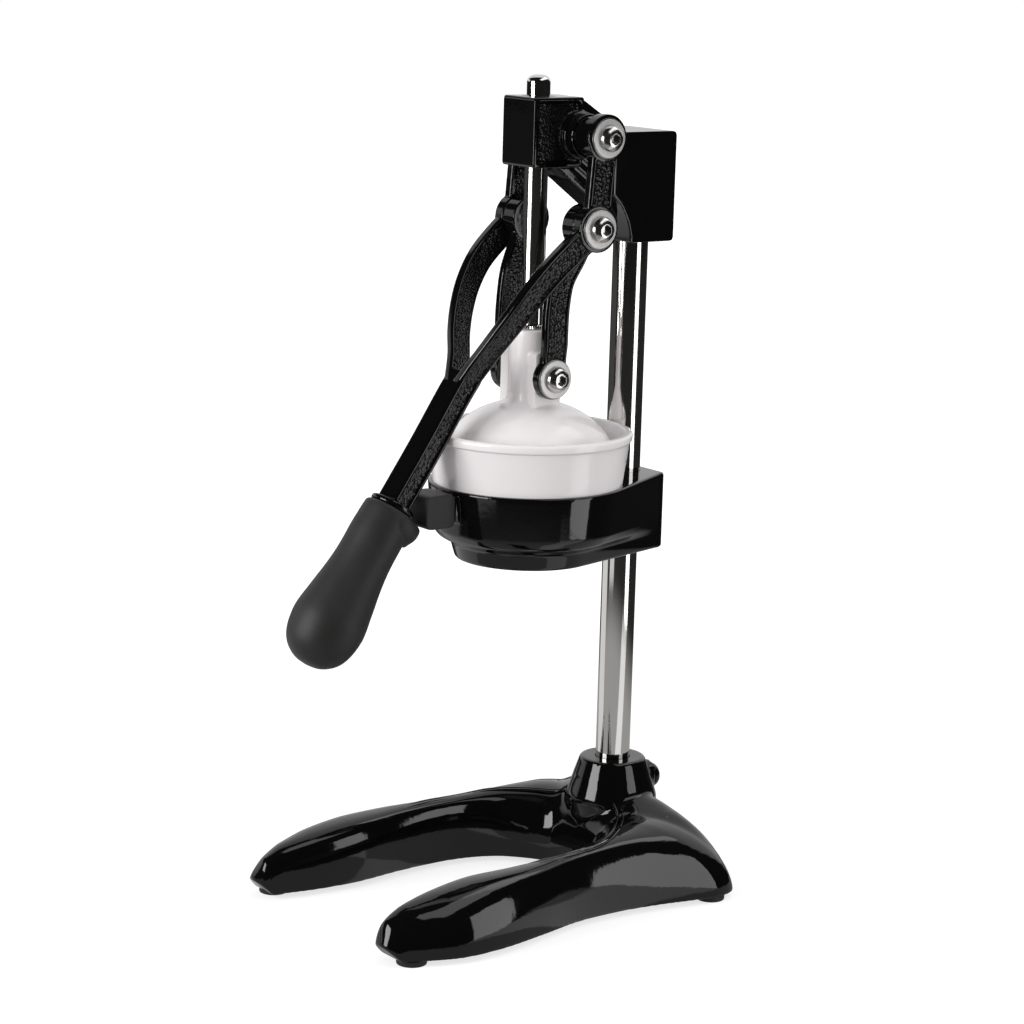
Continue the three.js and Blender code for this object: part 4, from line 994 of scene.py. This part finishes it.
arm_section = channel(ARM_THICK / 2, ARM_WIDE / 2, ARM_RIM, ARM_PANEL)
crank_rows = [(CRANK_MIDDLE, PIVOT_BACK, PIVOT_HEIGHT),
              (CRANK_MIDDLE, (PIVOT_BACK + LINK_BACK) / 2, (PIVOT_HEIGHT + LINK_HEIGHT) / 2),
              (CRANK_MIDDLE, LINK_BACK, LINK_HEIGHT)]
prong_rows, stem_rows = from_shares(PRONG_ROWS), from_shares(STEM_ROWS)
arm_foot = channel(ARM_THICK / 2, STEM_WIDE / 2, ARM_RIM, ARM_PANEL)
right_arm = [sweep(crank_rows, 12, arm_section), sweep(prong_rows, 90, arm_section, arm_foot)]
eyes = [moved(bar(EYE_RADIUS, CRANK_INNER, CRANK_OUTER), 0, y, z, "X")
        for y, z in ((PIVOT_BACK, PIVOT_HEIGHT), (LINK_BACK, LINK_HEIGHT))]
stem = sweep(stem_rows, 24, channel(STEM_THICK / 2, STEM_WIDE / 2, ARM_RIM, ARM_PANEL, True))
fork = cast(
    "fork_iron",
    [*right_arm, *eyes, *(across_x(shape) for shape in right_arm + eyes), stem,
     along_grip(bar(TANG_RADIUS, -STEM_WIDE / 2, TANG_LENGTH))], [], 0.45, 3)
fork_bores = [moved(bar(SCREW_BORE, 29, 39), 0, y, z, "X")
              for y, z in ((PIVOT_BACK, PIVOT_HEIGHT), (LINK_BACK, LINK_HEIGHT))]
carve(fork, (), fork_bores + [across_x(shape) for shape in fork_bores])
crisp(settled(fork), SOFT_EDGE)
arm_test = sunk([crank_rows, prong_rows], ARM_THICK / 2, ARM_WIDE, ARM_RIM, ARM_PANEL)
stem_test = sunk([stem_rows], STEM_THICK / 2, STEM_WIDE, ARM_RIM, ARM_PANEL)
pebble(fork, lambda places, normals: np.maximum(arm_test(places, normals),
                                                stem_test(places, normals)))
fit(fork, GLOSS_BLACK, "black_paint", "handle", "handle_fork")

# Curved links. One casting on each side: a hub inside the crank, a bar that bows forward and
# steps inward, and an eye on the bell's lug, sunk and pebbled on its outer side.
HUB_INNER = 21
HUB_OUTER = 30.6
HUB_RADIUS = 12
LUG_EYE_INNER = 15.9
LUG_EYE_OUTER = 20.9
LUG_EYE_RADIUS = 10.9
LINK_THICK = 5
LINK_WIDE = 15.6
LINK_RIM = 2
LINK_PANEL = 0.9
LINK_BOW = LINK_LENGTH * 0.078
LINK_ROWS = [(0, 0, 0), (0.18, 0.39, 0.31), (0.36, 1, 0.61), (0.53, 0.985, 0.69),
             (0.71, 0.685, 0.7), (0.79, 0.42, 0.8), (0.87, 0.18, 1), (1, 0, 1)]
hub_middle, eye_middle = (HUB_INNER + HUB_OUTER) / 2, (LUG_EYE_INNER + LUG_EYE_OUTER) / 2
link_rows = [
    (hub_middle + (eye_middle - hub_middle) * step,
     LINK_BACK * (1 - down) - math.cos(LINK_LEAN) * bow * LINK_BOW,
     RAM_PIVOT + (LINK_HEIGHT - RAM_PIVOT) * (1 - down) + math.sin(LINK_LEAN) * bow * LINK_BOW)
    for down, bow, step in LINK_ROWS]
link_shapes = [
    sweep(link_rows, 70, channel(LINK_THICK / 2, LINK_WIDE / 2, LINK_RIM, LINK_PANEL)),
    moved(bar(HUB_RADIUS, HUB_INNER, HUB_OUTER), 0, LINK_BACK, LINK_HEIGHT, "X"),
    moved(bar(LUG_EYE_RADIUS, LUG_EYE_INNER, LUG_EYE_OUTER), 0, 0, RAM_PIVOT, "X")]
link_bores = [moved(bar(SCREW_BORE, 19, 33), 0, LINK_BACK, LINK_HEIGHT, "X"),
              moved(bar(SCREW_BORE, 13, 23), 0, 0, RAM_PIVOT, "X")]
link_test = sunk([link_rows], LINK_THICK / 2, LINK_WIDE, LINK_RIM, LINK_PANEL)
for side in ("right", "left"):
    flip = across_x if side == "left" else lambda shape: shape
    link = cast(f"link_iron_{side}", [flip(shape) for shape in link_shapes], [], 0.45, 3)
    carve(link, (), [flip(shape) for shape in link_bores])
    crisp(settled(link), SOFT_EDGE)
    pebble(link, link_test)
    fit(link, GLOSS_BLACK, "black_paint", f"link_{side}", f"curved_link_{side}")

# Pivot hardware. At each of the six pivots a socket screw presses a bright washer over a darker
# shim; painted spacers keep the cranks clear of the cross boss.
WASHER = 0.9
WASHER_RADIUS = 10
SHIM_RADIUS = 10.6
SPACER_RADIUS = CROSS_RADIUS - 1
SPACER_LENGTH = 8.6


def washer(name, radius, at, facing):
    profile = rounded([(SCREW_BORE, 0), (radius, 0, 0.25), (radius, WASHER, 0.3),
                       (SCREW_BORE, WASHER, 0.2)], 3)
    return crisp(raw(moved(turned(profile + profile[:1], 96), *at, facing=facing), name, at), 40)


for side, sign in (("right", 1), ("left", -1)):
    facing = "X" if sign > 0 else "-X"
    pivots = (
        ("crank", "stand", CRANK_OUTER, 12.5, PIVOT_BACK, PIVOT_HEIGHT),
        ("link", "handle", CRANK_OUTER, CRANK_INNER, LINK_BACK, LINK_HEIGHT),
        ("presser", "ram", LUG_EYE_OUTER, 6, 0, RAM_PIVOT))
    for pivot, body, seat, foot_end, y, z in pivots:
        shim_at, washer_at = (sign * seat, y, z), (sign * (seat + WASHER), y, z)
        screw_at = (sign * (seat + 2 * WASHER), y, z)
        fit(washer(f"{pivot}_dark_ring_{side}", SHIM_RADIUS, shim_at, facing), DARK_STEEL,
            "dark_steel", body, f"{pivot}_shim_{side}")
        fit(washer(f"{pivot}_bright_ring_{side}", WASHER_RADIUS, washer_at, facing), SATIN_STAINLESS,
            "stainless", body, f"{pivot}_washer_{side}")
        fit(button_screw(f"{pivot}_screw_{side}", seat + 2 * WASHER - foot_end, screw_at, facing),
            BRIGHT_STAINLESS, "stainless", body, f"{pivot}_bolt_{side}")
    tube = rounded([(SCREW_BORE, 0), (SPACER_RADIUS, 0, 0.6), (SPACER_RADIUS, SPACER_LENGTH, 0.6),
                    (SCREW_BORE, SPACER_LENGTH)])
    spacer_at = (sign * BOSS_REACH, PIVOT_BACK, PIVOT_HEIGHT)
    spacer = raw(moved(turned(tube + tube[:1], 96), *spacer_at, facing=facing),
                 f"spacer_tube_{side}")
    fit(crisp(spacer, 40), GLOSS_BLACK, "black_paint", "stand", f"crank_spacer_{side}")

# Ferrule and grip. A painted collar ends the stem, and a soft matte sleeve is moulded over the
# tang behind it.
FERRULE_START = 0.3
FERRULE_THICK = 3
FERRULE_RADIUS = 12
GRIP_START = FERRULE_START + FERRULE_THICK + 0.3
GRIP_BORE = TANG_RADIUS + 0.3
GRIP_LENGTH = 92
GRIP_BULGE = 19.85
GRIP_ROWS = [(0, 0.62), (0.012, 0.69), (0.03, 0.705), (0.1, 0.725), (0.18, 0.743), (0.27, 0.742),
             (0.34, 0.755), (0.41, 0.785), (0.48, 0.83), (0.545, 0.88), (0.615, 0.93), (0.68, 0.98),
             (0.735, 1), (0.8, 0.973), (0.845, 0.93), (0.89, 0.855), (0.93, 0.735), (0.965, 0.55),
             (0.988, 0.34), (1, 0)]
LIP_ROWS = [(0.015, 0.67), (0.032, 0.76), (0.055, 0.775), (0.08, 0.765), (0.103, 0.73),
            (0.127, 0.665), (0.152, 0.615)]
LIP_SET_OFF = 4.8
ferrule_end = FERRULE_START + FERRULE_THICK
collar = rounded([(GRIP_BORE, FERRULE_START), (FERRULE_RADIUS, FERRULE_START, 1.2),
                  (FERRULE_RADIUS, ferrule_end, 1.2), (GRIP_BORE, ferrule_end)])
fit(crisp(raw(along_grip(turned(collar + collar[:1], 96)), "ferrule_collar"), SOFT_EDGE), GLOSS_BLACK,
    "black_paint", "handle", "grip_ferrule")


def sleeve(rows, set_off=0):
    """A moulded bulb from rows of place and width, as shares of the grip's length and bulge."""
    places = [(width * GRIP_BULGE, GRIP_START + place * GRIP_LENGTH)
              for place, width in through(rows, np.linspace(0, 1, 90))]
    return along_grip(moved(turned([(0, places[0][1]), *places, (0, places[-1][1])], 120),
                            y=-set_off))


grip = cast("grip_sleeve", [sleeve(GRIP_ROWS), sleeve(LIP_ROWS, LIP_SET_OFF)], [], 0.7, 4)
carve(grip, (), [along_grip(bar(GRIP_BORE, GRIP_START - 2, TANG_LENGTH + 0.6))])
fit(crisp(settled(grip), SOFT_EDGE), SOFT_RUBBER, "soft_rubber", "handle", "grip")

# Table, studio and camera. The press stands on a plain pale table before a white backdrop, between
# two window lights and a broad panel above. Reflected rays see the table and the sky at a brightness
# of their own, a painted room: dim, with glowing patches painted on both as reflections of lit walls.
TABLE_HALF = 6
# Brightness of the table near the press and far off, as it is seen and as it is reflected; the
# reflected brightness is a painted reflection, a glow that only reflected rays see.
TABLE_SHOWN = (0.72, 1.0)
TABLE_PAINTED_REFLECTION = (0.36, 0.01)
# The even level of the sky for every ray but the reflected ones, then the painted reflection it shows
# to those: nearly black, and bright in the patches that stand in for lit walls.
ROOM_LEVEL = 0.66
PAINTED_REFLECTION_DARK = 0.01
PAINTED_REFLECTION_BRIGHT = 0.79
CAMERA_PLACE = (1211.4, -922.6, 521.2)
CAMERA_TURN = math.radians(52.998)
CAMERA_TILT = math.radians(11.504)
CAMERA_ROLL = math.radians(1.602)
CAMERA_LENS = 101.71
SENSOR_WIDTH = 36

table_mesh = bpy.data.meshes.new("floor")
table_mesh.from_pydata([(TABLE_HALF * x, TABLE_HALF * y, 0) for x, y in (
    (-1, -1), (1, -1), (1, 1), (-1, 1))], [], [(0, 1, 2, 3)])
table = bpy.data.objects.new("floor", table_mesh)
bpy.context.scene.collection.objects.link(table)


def fade(shader, value, low, high, start=0, end=1):
    """Goes smoothly from start to end as a value goes from low to high."""
    return shader.node("MapRange", {"interpolation_type": "SMOOTHSTEP"}, {
        0: value, 1: low, 2: high, 3: start, 4: end})


def facing_to(shader, toward, direction):
    """How far a direction points the same way as another: 1 at most."""
    return shader.node("VectorMath", {"operation": "DOT_PRODUCT"}, {0: toward, 1: direction}, 1)


def larger(shader, one, other):
    return shader.node("Math", {"operation": "MAXIMUM"}, {0: one, 1: other})


paper = Shader(bpy.data.materials.new("white_table"))
table_mesh.materials.append(paper.owner)
camera_rays = paper.node("LightPath", {}, {}, 0)
glossy_rays = paper.node("LightPath", {}, {}, 3)
away = paper.node("VectorMath", {"operation": "LENGTH"}, {0: paper.place}, 1)
toward = paper.node("VectorMath", {"operation": "NORMALIZE"}, {0: paper.place})
# Each sheen is a painted reflection, a glowing patch that only reflected rays see; it lies one way
# from the press, between a near and a far distance in metres.
left_sheen = fade(paper, facing_to(paper, toward, (0.035, -0.999, 0)), 0.94, 0.97) * fade(
    paper, away, 0.53, 0.6) * fade(paper, away, 0.62, 1.4, 0.7, 0.25)
right_sheen = fade(paper, facing_to(paper, toward, (0.92, 0.391, 0)), 0.94, 0.97, 0, 0.9) * fade(
    paper, away, 0.45, 0.6, 1, 0)
rear_sheen = fade(paper, facing_to(paper, toward, (-0.906, -0.423, 0)), 0.83, 0.9) * fade(
    paper, away, 1.0, 1.7, 0.75, 0.05)
painted_reflection = larger(paper, fade(paper, away, 0.33, 0.62, *TABLE_PAINTED_REFLECTION),
                  left_sheen + right_sheen + rear_sheen)
shown = fade(paper, away, 0.25, 1.0, *TABLE_SHOWN) + paper.noise(3.0) * 0.02
# To reflected rays the table's own colour is nearly black, and its glow is a painted reflection:
# bright near the press and in the sheens, dim further off. Camera rays see it white.
paper.surface(
    Base_Color=paper.mix(glossy_rays, grey(0.36), grey(0.015)), Roughness=1.0,
    Specular_IOR_Level=0.0, Emission_Strength=1.0,
    Emission_Color=camera_rays * shown + glossy_rays * (1 - camera_rays) * painted_reflection)

bpy.context.scene.view_settings.view_transform = "Standard"
world = bpy.context.scene.world or bpy.data.worlds.new("studio")
bpy.context.scene.world = world
sky = Shader(world)
sky_camera = sky.node("LightPath", {}, {}, 0)
sky_glossy = sky.node("LightPath", {}, {}, 3)
outward = sky.node("TexCoord", out=0)
height = sky.node("SeparateXYZ", {}, {0: outward}, 2)
# Painted reflections in the sky: two bright patches, one just above the horizon and one high up, that
# only reflected rays see and that light nothing.
low_painted_reflection = fade(sky, facing_to(sky, outward, (-0.951, 0.309, 0)), 0.44, 0.53) * fade(
    sky, height, 0.31, 0.41, 1, 0) * fade(sky, height, 0.0, 0.08)
high_painted_reflection = fade(sky, facing_to(sky, outward, (-0.55, 0.532, 0.643)), 0.68, 0.74)
painted_sky_reflection = PAINTED_REFLECTION_DARK + PAINTED_REFLECTION_BRIGHT * larger(sky, low_painted_reflection, high_painted_reflection)
room = ROOM_LEVEL * (1 - sky_glossy) + painted_sky_reflection * sky_glossy
sky.node("OutputWorld", {}, {"Surface": sky.node("Background", {}, {
    "Color": room * (1 - sky_camera) + sky_camera, "Strength": 1.0})})


def softbox(name, turn, tilt, reach, width, height, power):
    """A soft lamp on a sphere round the press, turned from the camera's own direction."""
    heading = CAMERA_TURN + math.radians(turn)
    lift = math.radians(tilt)
    back = Vector((math.sin(heading) * math.cos(lift), -math.cos(heading) * math.cos(lift),
                   math.sin(lift)))
    lamp = bpy.data.lights.new(name, "AREA")
    lamp.shape = "RECTANGLE"
    lamp.size = width
    lamp.size_y = height
    lamp.energy = power
    made = bpy.data.objects.new(name, lamp)
    made.location = Vector((0, 0.02, 0.2)) + back * reach
    made.rotation_euler = back.to_track_quat("Z", "Y").to_euler()
    made.visible_camera = False
    bpy.context.scene.collection.objects.link(made)


softbox("left_window", -58, 14, 0.82, 0.43, 0.42, 4.2)
softbox("right_window", 64, -2, 0.55, 0.23, 0.37, 0.67)
softbox("ceiling_panel", 75, 60, 1.2, 1.5, 0.45, 3.2)

right = Vector((math.cos(CAMERA_TURN), math.sin(CAMERA_TURN), 0))
back = Vector((math.sin(CAMERA_TURN) * math.cos(CAMERA_TILT),
               -math.cos(CAMERA_TURN) * math.cos(CAMERA_TILT), math.sin(CAMERA_TILT)))
up = back.cross(right)
rolled = right * math.cos(CAMERA_ROLL) + up * math.sin(CAMERA_ROLL)
rolled_up = up * math.cos(CAMERA_ROLL) - right * math.sin(CAMERA_ROLL)
lens = bpy.data.cameras.new("camera")
lens.sensor_width = SENSOR_WIDTH
lens.lens = CAMERA_LENS
camera = bpy.data.objects.new("camera", lens)
camera.matrix_world = Matrix.Translation(Vector(np.array(CAMERA_PLACE) * MM + AXIS)) @ Matrix(
    (rolled, rolled_up, back)).transposed().to_4x4()
bpy.context.scene.collection.objects.link(camera)
bpy.context.scene.camera = camera
